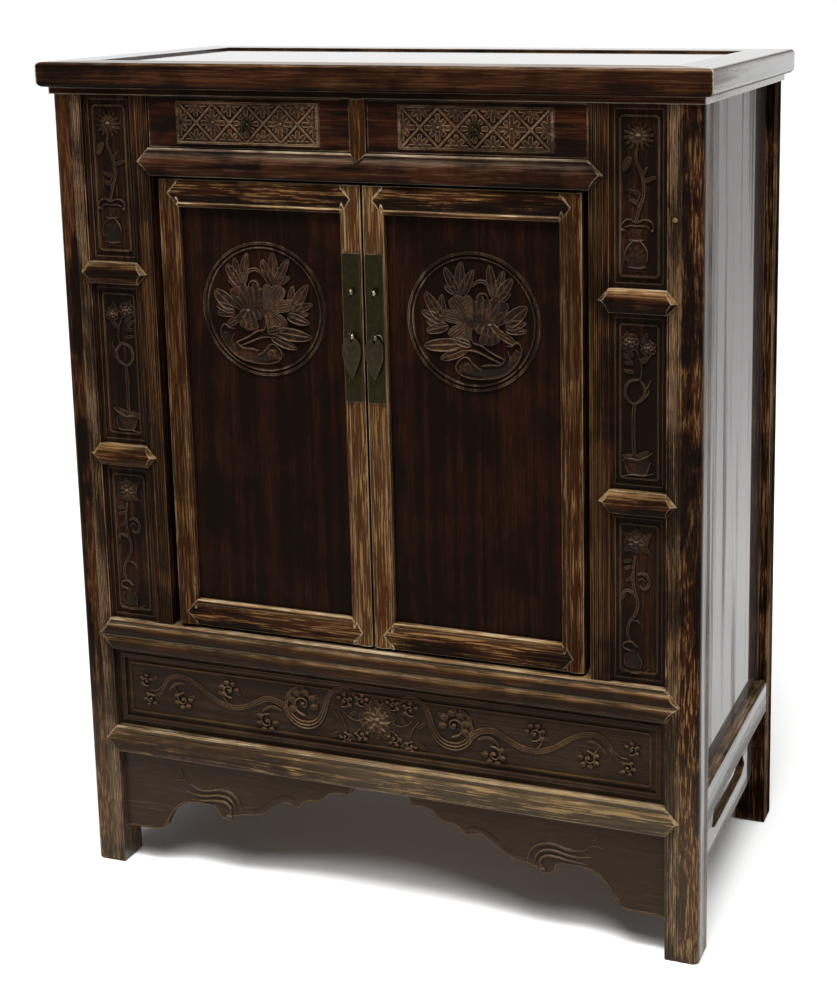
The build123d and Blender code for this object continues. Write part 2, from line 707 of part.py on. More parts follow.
def build():
    """Every sub-part, as a dictionary from its name to a list of solids."""
    nodes = {}

    panel = top_panel()
    posts = {(sx, sy): post(sx, sy) for sx in (-1, 1) for sy in (-1, 1)}
    members = top_members()

    bottom_rail = pointed_rail(-post_inner_x, post_inner_x, rail_point, bottom_rail_underside,
                               bottom_rail_height, front_y, bottom_rail_depth, rail_lap,
                               two_band_rail(bottom_rail_height, rail_bow), rail_tenon_length)
    half_band = (sill_rail_height - bead_width - band_gap) / 2
    sill_bands = [(0, half_band, rail_bow), (half_band + band_gap, 2 * half_band, rail_bow),
                  (sill_rail_height - bead_width, sill_rail_height, bead_rise)]
    sill_rail = pointed_rail(-post_inner_x, post_inner_x, rail_point, sill_underside, sill_rail_height,
                             front_y, sill_rail_depth, rail_lap, sill_bands, rail_tenon_length)
    drawer_rail = pointed_rail(-jamb_inner_x, jamb_inner_x, rail_point, drawer_rail_underside,
                               drawer_rail_height, front_y, drawer_rail_depth, rail_lap,
                               two_band_rail(drawer_rail_height, rail_bow), rail_tenon_length)

    opening, rail_lows = column_levels()
    column_bands = [(0, column_rail_height, column_rail_bow)]
    right_cross_rails = [
        pointed_rail(jamb_outer_x, post_inner_x, column_rail_point, low, column_rail_height,
                     front_y - column_rail_proud, column_rail_depth, rail_lap, column_bands, 0)
        for low in rail_lows
    ]
    panel_lows = [sill_top] + [low + column_rail_height for low in rail_lows]
    right_panels = [column_panel(low, low + opening) for low in panel_lows]
    right_jamb = jamb() - drawer_rail
    for piece in right_cross_rails + right_panels:
        right_jamb -= piece
    for i, rail in enumerate(right_cross_rails):
        for carved in right_panels:
            right_cross_rails[i] = right_cross_rails[i] - carved

    middle_upright = mullion()
    drawer_rail -= middle_upright
    sill_rail = sill_rail - right_panels[0] - mirrored(right_panels[0])
    members[0] = members[0] - right_panels[-1] - mirrored(right_panels[-1])

    carved_long = lower_panel()
    strips = [strip - carved_long for strip in lower_frame()]
    right_apron = apron()
    bottom_rail = bottom_rail - right_apron - mirrored(right_apron)

    right_side_rail = side_rail()
    right_side_panel = side_panel()
    right_side_rail -= right_side_panel
    right_side_apron = side_apron()
    boards = back_boards()
    rear_rails = [rail - boards[0] - boards[1] for rail in back_rails()]

    for (sx, sy), solid in posts.items():
        cutters = [right_side_rail, right_side_panel]
        if sy < 0:
            cutters += right_cross_rails + right_panels
        if sx < 0:
            cutters = [mirrored(c) for c in cutters]
        cutters += [bottom_rail, sill_rail] if sy < 0 else rear_rails + boards
        for cutter in cutters:
            solid -= cutter
        posts[(sx, sy)] = solid

    shelf_board = shelf()
    right_side_panel -= shelf_board
    members = [member - panel for member in members]
    for i in range(4):
        for solid in posts.values():
            members[i] = members[i] - solid
    members[1] -= boards[1]
    members[2] -= mirrored(right_side_panel)
    members[3] -= right_side_panel

    sill_back = front_y + sill_rail_depth
    floor_board = inside_board(side_panel_inner_x, sill_back, floor_top - floor_thickness, floor_top)
    bottom_low = bottom_rail_underside + bottom_board_inset
    side_rail_inner_x = half_width - side_rail_thickness
    bottom_board = inside_board(side_rail_inner_x, front_y + bottom_rail_depth, bottom_low,
                                bottom_low + bottom_board_thickness)
    for rail in rear_rails:
        bottom_board -= rail
    dust_board = inside_board(side_panel_inner_x, front_y + drawer_rail_depth,
                              drawer_rail_top - dust_board_thickness, drawer_rail_top)

    pivot_stile = stick_along_z(banded_section(stile_width, door_thickness, stile_bands(False)),
                                door_outer_x - stile_width, door_front, door_low, door_high)
    meeting_stile = stick_along_z(banded_section(stile_width, door_thickness, stile_bands(True)),
                                  door_inner_x, door_front, door_low, door_high)
    door_top_rail = door_rail(door_high - door_rail_height)
    door_bottom_rail = door_rail(door_low)
    carved_door = door_panel()
    plate = door_plate()
    seat = block(plate_x - plate_width / 2, plate_x + plate_width / 2, plate_back - door_bow, plate_back,
                 plate_high - plate_length, plate_high)
    meeting_stile -= seat
    for piece in (door_top_rail, door_bottom_rail, carved_door):
        pivot_stile -= piece
        meeting_stile -= piece
    door_top_rail -= carved_door
    door_bottom_rail -= carved_door
    pivot_stile += pivot(pivot_radius, door_high, pivot_length)
    pivot_stile += pivot(pivot_radius, door_low - pivot_length, pivot_length)
    upper_socket = pivot(pivot_radius, drawer_rail_underside, pivot_length - door_gap, pivot_clearance)
    lower_depth = pivot_length - door_gap
    lower_socket = pivot(pivot_radius, sill_top - lower_depth, lower_depth, pivot_clearance)
    drawer_rail = drawer_rail - upper_socket - mirrored(upper_socket)
    sill_rail = sill_rail - lower_socket - mirrored(lower_socket)

    nodes["post_front_left"] = [posts[(-1, -1)]]
    nodes["post_front_right"] = [posts[(1, -1)]]
    nodes["post_rear_left"] = [posts[(-1, 1)]]
    nodes["post_rear_right"] = [posts[(1, 1)]]
    for name, member in zip(("front", "back", "left", "right"), members):
        nodes["top_" + name + "_member"] = [member]
    nodes["top_panel"] = [panel]
    nodes["drawer_rail"] = [drawer_rail]
    nodes["sill_rail"] = [sill_rail]
    nodes["bottom_rail"] = [bottom_rail]
    nodes["drawer_mullion"] = [middle_upright]
    nodes["column_rails"] = right_cross_rails + [mirrored(rail) for rail in right_cross_rails]
    nodes["lower_panel"] = [carved_long]
    nodes["lower_panel_frame"] = strips
    nodes["back_panels"] = boards
    nodes["back_rails"] = rear_rails
    nodes["cupboard_floor"] = [floor_board]
    nodes["bottom_board"] = [bottom_board]
    nodes["shelf"] = [shelf_board]
    nodes["dust_board"] = [dust_board]
    nodes["drawer_guides"] = drawer_guides()

    both_sides = {
        "jamb_{}": [right_jamb],
        "column_panel_{}_lower": [right_panels[0]],
        "column_panel_{}_middle": [right_panels[1]],
        "column_panel_{}_upper": [right_panels[2]],
        "apron_{}": [right_apron],
        "side_rail_{}": [right_side_rail],
        "side_panel_{}": [right_side_panel],
        "side_apron_{}": [right_side_apron],
        "door_{}_pivot_stile": [pivot_stile],
        "door_{}_meeting_stile": [meeting_stile],
        "door_{}_rails": [door_top_rail, door_bottom_rail],
        "door_{}_panel": [carved_door],
        "door_{}_plate": [plate],
        "door_{}_leaf_pull": [leaf_pull()],
        "drawer_{}_front": [drawer_front()],
        "drawer_{}_box": drawer_box(),
        "drawer_{}_ring_plate": [ring_plate()],
        "drawer_{}_ring": [pull_ring()],
    }
    for name, pieces in both_sides.items():
        nodes[name.format("right")] = pieces
        nodes[name.format("left")] = [mirrored(piece) for piece in pieces]
    return nodes


for node_name, pieces in build().items():
    solids = [solid for piece in pieces for solid in piece.solids()]
    export_step(Compound(solids), "parts/" + node_name + ".step")
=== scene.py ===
import math
from fnmatch import fnmatch
import bpy
from mathutils import Euler, Matrix, Vector


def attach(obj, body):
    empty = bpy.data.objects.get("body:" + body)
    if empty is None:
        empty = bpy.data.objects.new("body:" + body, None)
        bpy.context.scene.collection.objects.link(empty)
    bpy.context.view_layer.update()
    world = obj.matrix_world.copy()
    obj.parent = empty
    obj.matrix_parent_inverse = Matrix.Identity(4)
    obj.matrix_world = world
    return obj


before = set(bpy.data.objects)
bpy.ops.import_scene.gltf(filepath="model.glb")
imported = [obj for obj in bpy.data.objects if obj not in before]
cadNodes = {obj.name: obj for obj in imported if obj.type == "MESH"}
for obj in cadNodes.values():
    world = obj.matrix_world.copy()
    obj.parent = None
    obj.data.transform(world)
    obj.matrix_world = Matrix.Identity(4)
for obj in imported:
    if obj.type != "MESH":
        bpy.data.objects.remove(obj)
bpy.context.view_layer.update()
mm = 0.001


# ---- small helpers ----

def deselectAll():
    if bpy.context.object and bpy.context.object.mode != "OBJECT":
        bpy.ops.object.mode_set(mode="OBJECT")
    for piece in bpy.context.selected_objects:
        piece.select_set(False)


def makeActive(piece):
    deselectAll()
    piece.select_set(True)
    bpy.context.view_layer.objects.active = piece


def addObject(name, data):
    piece = bpy.data.objects.new(name, data)
    bpy.context.scene.collection.objects.link(piece)
    return piece


def copyOf(piece):
    # a copy with its own mesh
    copy = piece.copy()
    copy.data = piece.data.copy()
    bpy.context.scene.collection.objects.link(copy)
    return copy


def settle(piece):
    # put the place, turn and scale into the mesh
    makeActive(piece)
    bpy.ops.object.transform_apply(location=True, rotation=True, scale=True)
    return piece


def resizeWhere(piece, wanted, value, center=(0, 0, 0)):
    # resize only the vertices picked by their place
    makeActive(piece)
    bpy.ops.object.mode_set(mode="EDIT")
    bpy.ops.mesh.select_mode(type="VERT")
    bpy.ops.mesh.select_all(action="DESELECT")
    bpy.ops.object.mode_set(mode="OBJECT")
    for vertex in piece.data.vertices:
        vertex.select = wanted(vertex.co)
    bpy.ops.object.mode_set(mode="EDIT")
    bpy.ops.transform.resize(value=value, center_override=center)
    bpy.ops.object.mode_set(mode="OBJECT")


def addModifier(piece, kind, **values):
    makeActive(piece)
    modifier = piece.modifiers.new(kind.lower(), kind)
    for name, value in values.items():
        setattr(modifier, name, value)
    bpy.ops.object.modifier_apply(modifier=modifier.name)


def smooth(piece, angle):
    makeActive(piece)
    bpy.ops.object.shade_smooth_by_angle(angle=math.radians(angle))


def joinAll(pieces, name):
    deselectAll()
    for piece in pieces:
        piece.select_set(True)
    bpy.context.view_layer.objects.active = pieces[0]
    bpy.ops.object.join()
    joined = bpy.context.object
    joined.name = joined.data.name = name
    return joined


def feed(tree, node, inputs):
    # each input takes a link or a plain value; colours are given without their alpha
    for key, value in inputs.items():
        socket = node.inputs[key]
        if isinstance(value, bpy.types.NodeSocket):
            tree.links.new(value, socket)
        else:
            socket.default_value = (*value, 1) if socket.type == "RGBA" else value


def addNode(tree, kind, inputs={}, **settings):
    node = tree.nodes.new("ShaderNode" + kind)
    for name, value in settings.items():
        setattr(node, name, value)
    feed(tree, node, inputs)
    return node


def mathNode(tree, operation, first, second=0.5, clamp=False):
    return addNode(tree, "Math", {0: first, 1: second}, operation=operation, use_clamp=clamp).outputs[0]


def mixFloat(tree, factor, first, second):
    node = addNode(tree, "Mix", {"Factor": factor, "A": first, "B": second}, data_type="FLOAT")
    return node.outputs["Result"]


def mixColor(tree, factor, first, second):
    return addNode(tree, "Mix", {0: factor, 6: first, 7: second}, data_type="RGBA").outputs[2]


def noiseNode(tree, vector, scale, detail, rough, distortion=0.0):
    inputs = {"Vector": vector, "Scale": scale, "Detail": detail, "Roughness": rough, "Distortion": distortion}
    return addNode(tree, "TexNoise", inputs).outputs["Fac"]


def rampNode(tree, value, low, high, toLow=0.0, toHigh=1.0, kind="SMOOTHSTEP"):
    inputs = {"Value": value, "From Min": low, "From Max": high, "To Min": toLow, "To Max": toHigh}
    return addNode(tree, "MapRange", inputs, interpolation_type=kind).outputs["Result"]


# ---- camera, floor and light ----

camera = {
    "place": (0.823, -1.9436, 1.1052),
    "pan": 19.51,
    "tilt": 10.93,
    "roll": -0.6,
    "sensor": 36.0,
    "lens": 63.19,
    "shift": (-0.1160, -0.1969),
    "farthest": 200,
}


def addCamera():
    data = bpy.data.cameras.new("camera")
    data.sensor_fit = "VERTICAL"
    data.sensor_height = camera["sensor"]
    data.lens = camera["lens"]
    data.shift_x, data.shift_y = camera["shift"]
    data.clip_end = camera["farthest"]
    eye = addObject("camera", data)
    turn = Euler((math.radians(90 - camera["tilt"]), 0, math.radians(camera["pan"]))).to_matrix()
    turn = turn @ Matrix.Rotation(math.radians(camera["roll"]), 3, "Z")
    eye.matrix_world = Matrix.Translation(camera["place"]) @ turn.to_4x4()
    bpy.context.scene.camera = eye


studio = {
    "floorSize": 120,
    "floorDrop": 0.0004,
    "floorColor": 0.80,
    "floorSeen": 1.08,
    "worldLevel": 0.17,
    "darkSide": 0.03,
    "brightSide": 1.15,
    "sides": (-0.55, 0.15),
    "keyLevel": 2.70,
    "keyAngle": 42,
    "keyTurn": (20, 0, 26),
    "glintLevel": 50,
    "glintSize": (1.4, 0.5),
    "glintPlace": (0.1, -0.9, 2.4),
    "glintAim": (0, -0.2, 0.6),
}


def addFloor():
    # the floor looks white and lights the piece a little less
    deselectAll()
    bpy.ops.mesh.primitive_plane_add(size=studio["floorSize"], location=(0, 0, -studio["floorDrop"]))
    floor = bpy.context.object
    floor.name = "floor"
    material = bpy.data.materials.new("paleFloor")
    material.use_nodes = True
    tree = material.node_tree
    tree.nodes.clear()
    path = addNode(tree, "LightPath").outputs
    seen = mathNode(tree, "MAXIMUM", path["Is Camera Ray"], path["Is Glossy Ray"])
    seen = mathNode(tree, "MAXIMUM", seen, path["Is Transmission Ray"])
    shade = rampNode(tree, seen, 0.0, 1.0, studio["floorColor"], studio["floorSeen"], "LINEAR")
    matte = addNode(tree, "BsdfDiffuse", {"Color": shade})
    addNode(tree, "OutputMaterial", {"Surface": matte.outputs[0]})
    floor.data.materials.append(material)


def addWorld():
    # white where the camera and reflections look, darker in reflections towards the viewer's side of the room
    world = bpy.data.worlds.new("studio")
    bpy.context.scene.world = world
    world.use_nodes = True
    tree = world.node_tree
    tree.nodes.clear()
    path = addNode(tree, "LightPath").outputs
    where = addNode(tree, "TexCoord").outputs["Generated"]
    depth = addNode(tree, "SeparateXYZ", {0: where}).outputs["Y"]
    side = rampNode(tree, depth, *studio["sides"], studio["darkSide"], studio["brightSide"], "LINEAR")
    shiny = mathNode(tree, "MAXIMUM", path["Is Glossy Ray"], path["Is Transmission Ray"])
    level = mixFloat(tree, shiny, studio["worldLevel"], side)
    level = mixFloat(tree, path["Is Camera Ray"], level, 1.0)
    back = addNode(tree, "Background", {"Strength": level})
    addNode(tree, "OutputWorld", {"Surface": back.outputs[0]})


def addLights():
    sun = bpy.data.lights.new("key", "SUN")
    sun.energy = studio["keyLevel"]
    sun.angle = math.radians(studio["keyAngle"])
    addObject("key", sun).rotation_euler = Euler([math.radians(angle) for angle in studio["keyTurn"]])
    soft = bpy.data.lights.new("glint", "AREA")
    soft.shape = "RECTANGLE"
    soft.size, soft.size_y = studio["glintSize"]
    soft.energy = studio["glintLevel"]
    glint = addObject("glint", soft)
    glint.location = studio["glintPlace"]
    aim = Vector(studio["glintAim"]) - glint.location
    glint.rotation_euler = aim.to_track_quat("-Z", "Y").to_euler()


bpy.context.scene.view_settings.view_transform = "Standard"
addCamera()
addFloor()
addWorld()
addLights()
print("camera, floor and light ready")


# ---- finishes ----

# each noise: scale, detail, roughness, distortion and whether the grain draws it out
grainNoise = {
    "streak": (520, 4, 0.66, 0.35, True),
    "band": (70, 3, 0.58, 0.3, True),
    "scratch": (900, 2, 0.7, 0.0, True),
    "patch": (13, 4, 0.62, 0.6, False),
    "wide": (20, 3, 0.6, 0.2, True),
}
# how much the grain shortens each axis
grainAlong = {"x": (0.034, 1.0, 1.0), "y": (1.0, 0.034, 1.0), "z": (1.0, 1.0, 0.034), "none": (0.5, 0.5, 0.5),
              "post": (1.0, 1.0, 0.075)}
# ramps of the wear masks and of the painted highlight and shade masks: where each starts and ends, and what it starts
# and ends with
wearAndPaintedLightRamps = {
    "redPatches": (0.44, 0.60),
    "redStreaks": (0.36, 0.60, 0.5, 1.0),
    "wornPatches": (0.44, 0.58),
    "rubbedStreaks": (0.52, 0.59),
    "looksUp": (0.12, 0.75),
    "upPatches": (0.43, 0.55, 0.12, 1.0),
    "edgePatches": (0.44, 0.56),
    "goldScratches": (0.30, 0.55, 0.55, 1.0),
    "creamPatches": (0.46, 0.58),
    "looksUpMore": (0.35, 0.85),
    "topPatches": (0.48, 0.62),
    "haze": (1.1, 2.6, 0.0, 0.11),
    "cleanCrevices": (0.0, 1.0, 1.0, 0.35),
    "roughBands": (0.35, 0.65, -0.3, 0.7),
    "coatBands": (0.44, 0.55, 1.1, 0.32),
    "faceOn": (0.75, 0.98),
}
# where a softened normal has left the true one enough for an edge and for its pale corner
edgeRamps = {"edgeStart": 0.002, "edgeFull": 0.07, "cornerStart": 0.035, "cornerFull": 0.12}
creviceSpan = 0.40
# high points are rubbed, and kept to flanks that lean up as a painted highlight
crestWearAndHighlight = {"leans": (0.02, 0.45, 0.12, 1.0), "corner": 0.75}
seamWidth = (0.8 * mm, 0.3 * mm)
specularTint = (1.0, 0.82, 0.62)
# painted shade laid into crevices, recesses and joints between parts
paintedCreviceShade = (0.0025, 0.0017, 0.0013)
lacquerColors = {
    "black": (0.0050, 0.0027, 0.0020),
    "russet": (0.0200, 0.0068, 0.0024),
    "brown": (0.0430, 0.0135, 0.0056),
    "red": (0.0360, 0.0085, 0.0042),
    "gold": (0.2000, 0.1120, 0.0420),
    "straw": (0.2200, 0.1380, 0.0600),
    "ochre": (0.1400, 0.0760, 0.0270),
    "cream": (0.3600, 0.2950, 0.2000),
    "soot": (0.0070, 0.0046, 0.0034),
    "peat": (0.0135, 0.0082, 0.0052),
    "umber": (0.0240, 0.0152, 0.0102),
    "honey": (0.0560, 0.0290, 0.0110),
    "mauve": (0.0360, 0.0245, 0.0215),
    "grey": (0.1250, 0.0980, 0.0700),
    "paleGrey": (0.2300, 0.1880, 0.1380),
    "rawDark": (0.115, 0.062, 0.030),
    "rawMid": (0.170, 0.095, 0.045),
    "rawPale": (0.250, 0.155, 0.080),
    "rawEdge": (0.270, 0.180, 0.100),
}
# the usual amounts; a finish names only those it changes. Lengths are in mm
groupLook = {
    "redness": 0.8, "rubbing": 0.9, "edgeWearAndHighlight": 0.9, "edgeFloor": 0.12, "rubFloor": 0.06, "upwardHighlight": 0.0,
    "gloss": 0.22, "glossBands": 0.12, "coat": 0.0,
}
usualLook = {
    **groupLook, "edgeRadius": 1.8, "edgeSense": 1.0, "creviceReach": 9, "creviceFrom": 0.70, "creviceDepth": 1.0,
    "specular": 0.02, "coatBands": True, "coatIor": 1.5, "bump": 0.25, "zone": None, "seam": None, "crest": None,
}


def newGroup(name, inputs, outputs):
    group = bpy.data.node_groups.new(name, "ShaderNodeTree")
    for way, kinds in (("INPUT", inputs), ("OUTPUT", outputs)):
        for kind, names in kinds.items():
            for socketName in names:
                group.interface.new_socket(socketName, in_out=way, socket_type="NodeSocket" + kind)
    return group, group.nodes.new("NodeGroupInput").outputs, group.nodes.new("NodeGroupOutput")


def makeGrainGroup():
    # streaks that follow the wood
    group, given, result = newGroup("woodGrain", {"Vector": ("place", "stretch")}, {"Float": tuple(grainNoise)})
    drawnOut = addNode(group, "VectorMath", {0: given["place"], 1: given["stretch"]}, operation="MULTIPLY").outputs[0]
    for name, (*values, drawn) in grainNoise.items():
        feed(group, result, {name: noiseNode(group, drawnOut if drawn else given["place"], *values)})
    return group


def makeLacquerGroup():
    # old lacquer over red and golden undercoats, rubbed through along the grain and pale on the sharpest edges, those
    # edges partly painted highlight; painted highlight on what looks up and painted shade in crevices
    group, given, result = newGroup(
        "rubbedLacquer",
        {"Float": (*grainNoise, "edge", "corner", "crevice", "zone", *groupLook),
         "Color": ("dark", "red", "gold", "cream")},
        {"Color": ("color",), "Float": ("roughness", "coat", "height")},
    )
    streak, band, scratch, patch, wide = (given[name] for name in grainNoise)
    crevice, zone = given["crevice"], given["zone"]

    def times(first, second, clamp=False):
        return mathNode(group, "MULTIPLY", first, second, clamp)

    def plus(first, second, clamp=False):
        return mathNode(group, "ADD", first, second, clamp)

    def most(first, second):
        return mathNode(group, "MAXIMUM", first, second)

    def blend(first, share, second):
        return plus(times(first, share), times(second, round(1 - share, 2)))

    def ramp(value, name):
        return rampNode(group, value, *wearAndPaintedLightRamps[name])

    facing = addNode(group, "NewGeometry").outputs["Normal"]
    looks = addNode(group, "SeparateXYZ", {0: facing}).outputs
    broad = blend(band, 0.55, patch)
    worn = most(ramp(broad, "wornPatches"), given["rubFloor"])
    rubMask = times(times(times(ramp(streak, "rubbedStreaks"), worn), given["rubbing"]), zone)
    # painted highlight: what looks up is made lighter with gold, as light from above falls on it; it is rubbed more
    # as well
    upHighlightMask = times(times(ramp(looks["Z"], "looksUp"), ramp(blend(broad, 0.6, streak), "upPatches")),
                   times(given["upwardHighlight"], zone))
    # gold on the edges: worn lacquer, partly painted highlight
    edgeNoise = most(ramp(blend(streak, 0.35, broad), "edgePatches"), given["edgeFloor"])
    edgeMask = times(times(given["edge"], edgeNoise), given["edgeWearAndHighlight"])
    gold = times(plus(plus(rubMask, edgeMask), upHighlightMask, True), mathNode(group, "SUBTRACT", 1.0, crevice, True))
    gold = times(gold, ramp(scratch, "goldScratches"))
    # pale cream on the sharpest edges: worn lacquer, partly painted highlight
    creamNoise = most(ramp(blend(scratch, 0.3, broad), "creamPatches"), given["edgeFloor"])
    cream = times(times(given["corner"], creamNoise), given["edgeWearAndHighlight"], True)
    # painted highlight: cream laid on faces that look up
    topLight = times(times(ramp(looks["Z"], "looksUpMore"), given["upwardHighlight"]),
                     ramp(blend(scratch, 0.5, broad), "topPatches"))
    cream = plus(cream, times(topLight, 1.1), True)
    # much handled zones are dulled all over
    cream = plus(cream, ramp(zone, "haze"), True)
    cream = times(cream, ramp(crevice, "cleanCrevices"))
    redMask = times(times(ramp(broad, "redPatches"), ramp(streak, "redStreaks")), given["redness"], True)
    redMask = plus(redMask, times(gold, 1.5), True)
    # the last mask lays painted shade into crevices found by ambient occlusion, with real dark board seams
    color = given["dark"]
    for mask, tint in ((redMask, given["red"]), (gold, given["gold"]), (cream, given["cream"]),
                       (times(crevice, 0.9), paintedCreviceShade)):
        color = mixColor(group, mask, color, tint)
    rough = plus(given["gloss"], times(gold, 0.20))
    rough = plus(rough, times(ramp(band, "roughBands"), given["glossBands"]))
    rough = plus(rough, times(crevice, 0.3), True)
    # a coat seen in soft bands on faces that look sideways, whole on those that look up
    sheen = plus(plus(times(wide, 0.74), times(band, 0.15)), times(streak, 0.11))
    sheen = times(ramp(sheen, "coatBands"), mathNode(group, "MINIMUM", zone, 1.2))
    sheen = times(sheen, ramp(mathNode(group, "ABSOLUTE", looks["X"]), "faceOn"))
    sheen = times(most(sheen, ramp(looks["Z"], "faceOn")), given["coat"])
    height = plus(plus(times(streak, 0.8), times(scratch, 0.35)), times(band, 0.6))
    height = mathNode(group, "SUBTRACT", height, times(gold, 0.3))
    feed(group, result, {"color": color, "roughness": rough, "coat": sheen, "height": height})
    return group


grainGroup = makeGrainGroup()
lacquerGroup = makeLacquerGroup()
materials = {}


def newMaterial(name):
    material = materials[name] = bpy.data.materials.new(name)
    material.use_nodes = True
    return material.node_tree, material.node_tree.nodes["Principled BSDF"]


def softEdge(tree, radius):
    # an edge is where a softened normal leaves the true one
    rounded = addNode(tree, "Bevel", {"Radius": radius * mm}, samples=4).outputs[0]
    facing = addNode(tree, "NewGeometry").outputs["Normal"]
    return addNode(tree, "VectorMath", {0: rounded, 1: facing}, operation="DOT_PRODUCT").outputs["Value"], facing


def addBump(tree, shader, height, strength, distance):
    dent = addNode(tree, "Bump", {"Strength": strength, "Distance": distance * mm, "Height": height})
    feed(tree, shader, {"Normal": dent.outputs[0]})


def lacquer(name, along, colors, **changes):
    look = {**usualLook, **changes}
    tree, shader = newMaterial(name)
    where = addNode(tree, "TexCoord").outputs["Object"]
    place = addNode(tree, "SeparateXYZ", {0: where}).outputs
    grain = addNode(tree, "Group", {"place": where, "stretch": grainAlong[along]}, node_tree=grainGroup).outputs
    agree, facing = softEdge(tree, look["edgeRadius"])
    sense = look["edgeSense"]
    edge = rampNode(tree, agree, 1 - edgeRamps["edgeStart"], 1 - edgeRamps["edgeFull"] * sense)
    corner = rampNode(tree, agree, 1 - edgeRamps["cornerStart"] * sense, 1 - edgeRamps["cornerFull"] * sense)
    if look["crest"]:
        # what stands highest off the face is rubbed like an edge, and only where it leans up, as a painted highlight
        # of light from above: face, low and high rise
        face, low, high = look["crest"]
        raised = rampNode(tree, place["Y"], (face - low) * mm, (face - high) * mm)
        lean = addNode(tree, "SeparateXYZ", {0: facing}).outputs["Z"]
        raised = mathNode(tree, "MULTIPLY", raised, rampNode(tree, lean, *crestWearAndHighlight["leans"]))
        edge = mathNode(tree, "MAXIMUM", edge, raised)
        corner = mathNode(tree, "MAXIMUM", corner, mathNode(tree, "MULTIPLY", raised, crestWearAndHighlight["corner"]))
    # painted shade: ambient occlusion finds crevices, recesses and joints between parts and darkens them; board seams
    # add real dark joint lines
    shade = addNode(tree, "AmbientOcclusion", {"Distance": look["creviceReach"] * mm}, samples=6).outputs["AO"]
    start = look["creviceFrom"]
    crevice = rampNode(tree, shade, start, start - creviceSpan, 0.0, look["creviceDepth"])
    if look["seam"]:
        # a board joint: a thin dark line at this distance to the right of the middle
        offSeam = mathNode(tree, "ABSOLUTE", mathNode(tree, "SUBTRACT", place["X"], look["seam"] * mm))
        crevice = mathNode(tree, "MAXIMUM", crevice, rampNode(tree, offSeam, *seamWidth))
    zone = 1.0
    if look["zone"]:
        # rubbing grows from one place to another along an axis
        axis, start, end, low, high = look["zone"]
        zone = rampNode(tree, place[axis], start * mm, end * mm, low, high)
    tints = (lacquerColors[tint] for tint in colors.split())
    finish = addNode(tree, "Group", {
        **{noise: grain[noise] for noise in grainNoise}, **{amount: look[amount] for amount in groupLook},
        **dict(zip(("dark", "red", "gold", "cream"), tints)),
        "edge": edge, "corner": corner, "crevice": crevice, "zone": zone,
    }, node_tree=lacquerGroup).outputs
    feed(tree, shader, {
        "Base Color": finish["color"], "Roughness": finish["roughness"],
        "Specular IOR Level": look["specular"], "Specular Tint": specularTint,
        "Coat Weight": look["coat"], "Coat Roughness": 0.04, "Coat IOR": look["coatIor"],
    })
    if look["coat"] and look["coatBands"]:
        feed(tree, shader, {"Coat Weight": finish["coat"]})
    addBump(tree, shader, finish["height"], look["bump"], 0.35)


def dress(nodes, material):
    # the finish for the joinery pieces whose names fit
    for nodeName, cadObject in cadNodes.items():
        if any(fnmatch(nodeName, pattern) for pattern in nodes.split()):
            cadObject.data.materials.clear()
            cadObject.data.materials.append(material)


postLook = dict(redness=1.0, edgeWearAndHighlight=0.7, edgeRadius=1.6, gloss=0.18, creviceReach=3, coat=0.70,
                zone=("Z", 460, 60, 0.70, 2.2))
rawLook = dict(redness=0.9, rubbing=0.6, edgeWearAndHighlight=0.3, edgeRadius=2.4, gloss=0.55, specular=0.2, bump=0.4,
               creviceReach=20, creviceDepth=0.6)
carvedLook = dict(edgeWearAndHighlight=1.0, edgeSense=0.45, edgeFloor=0.5, gloss=0.26, bump=0.10, creviceReach=2.5)
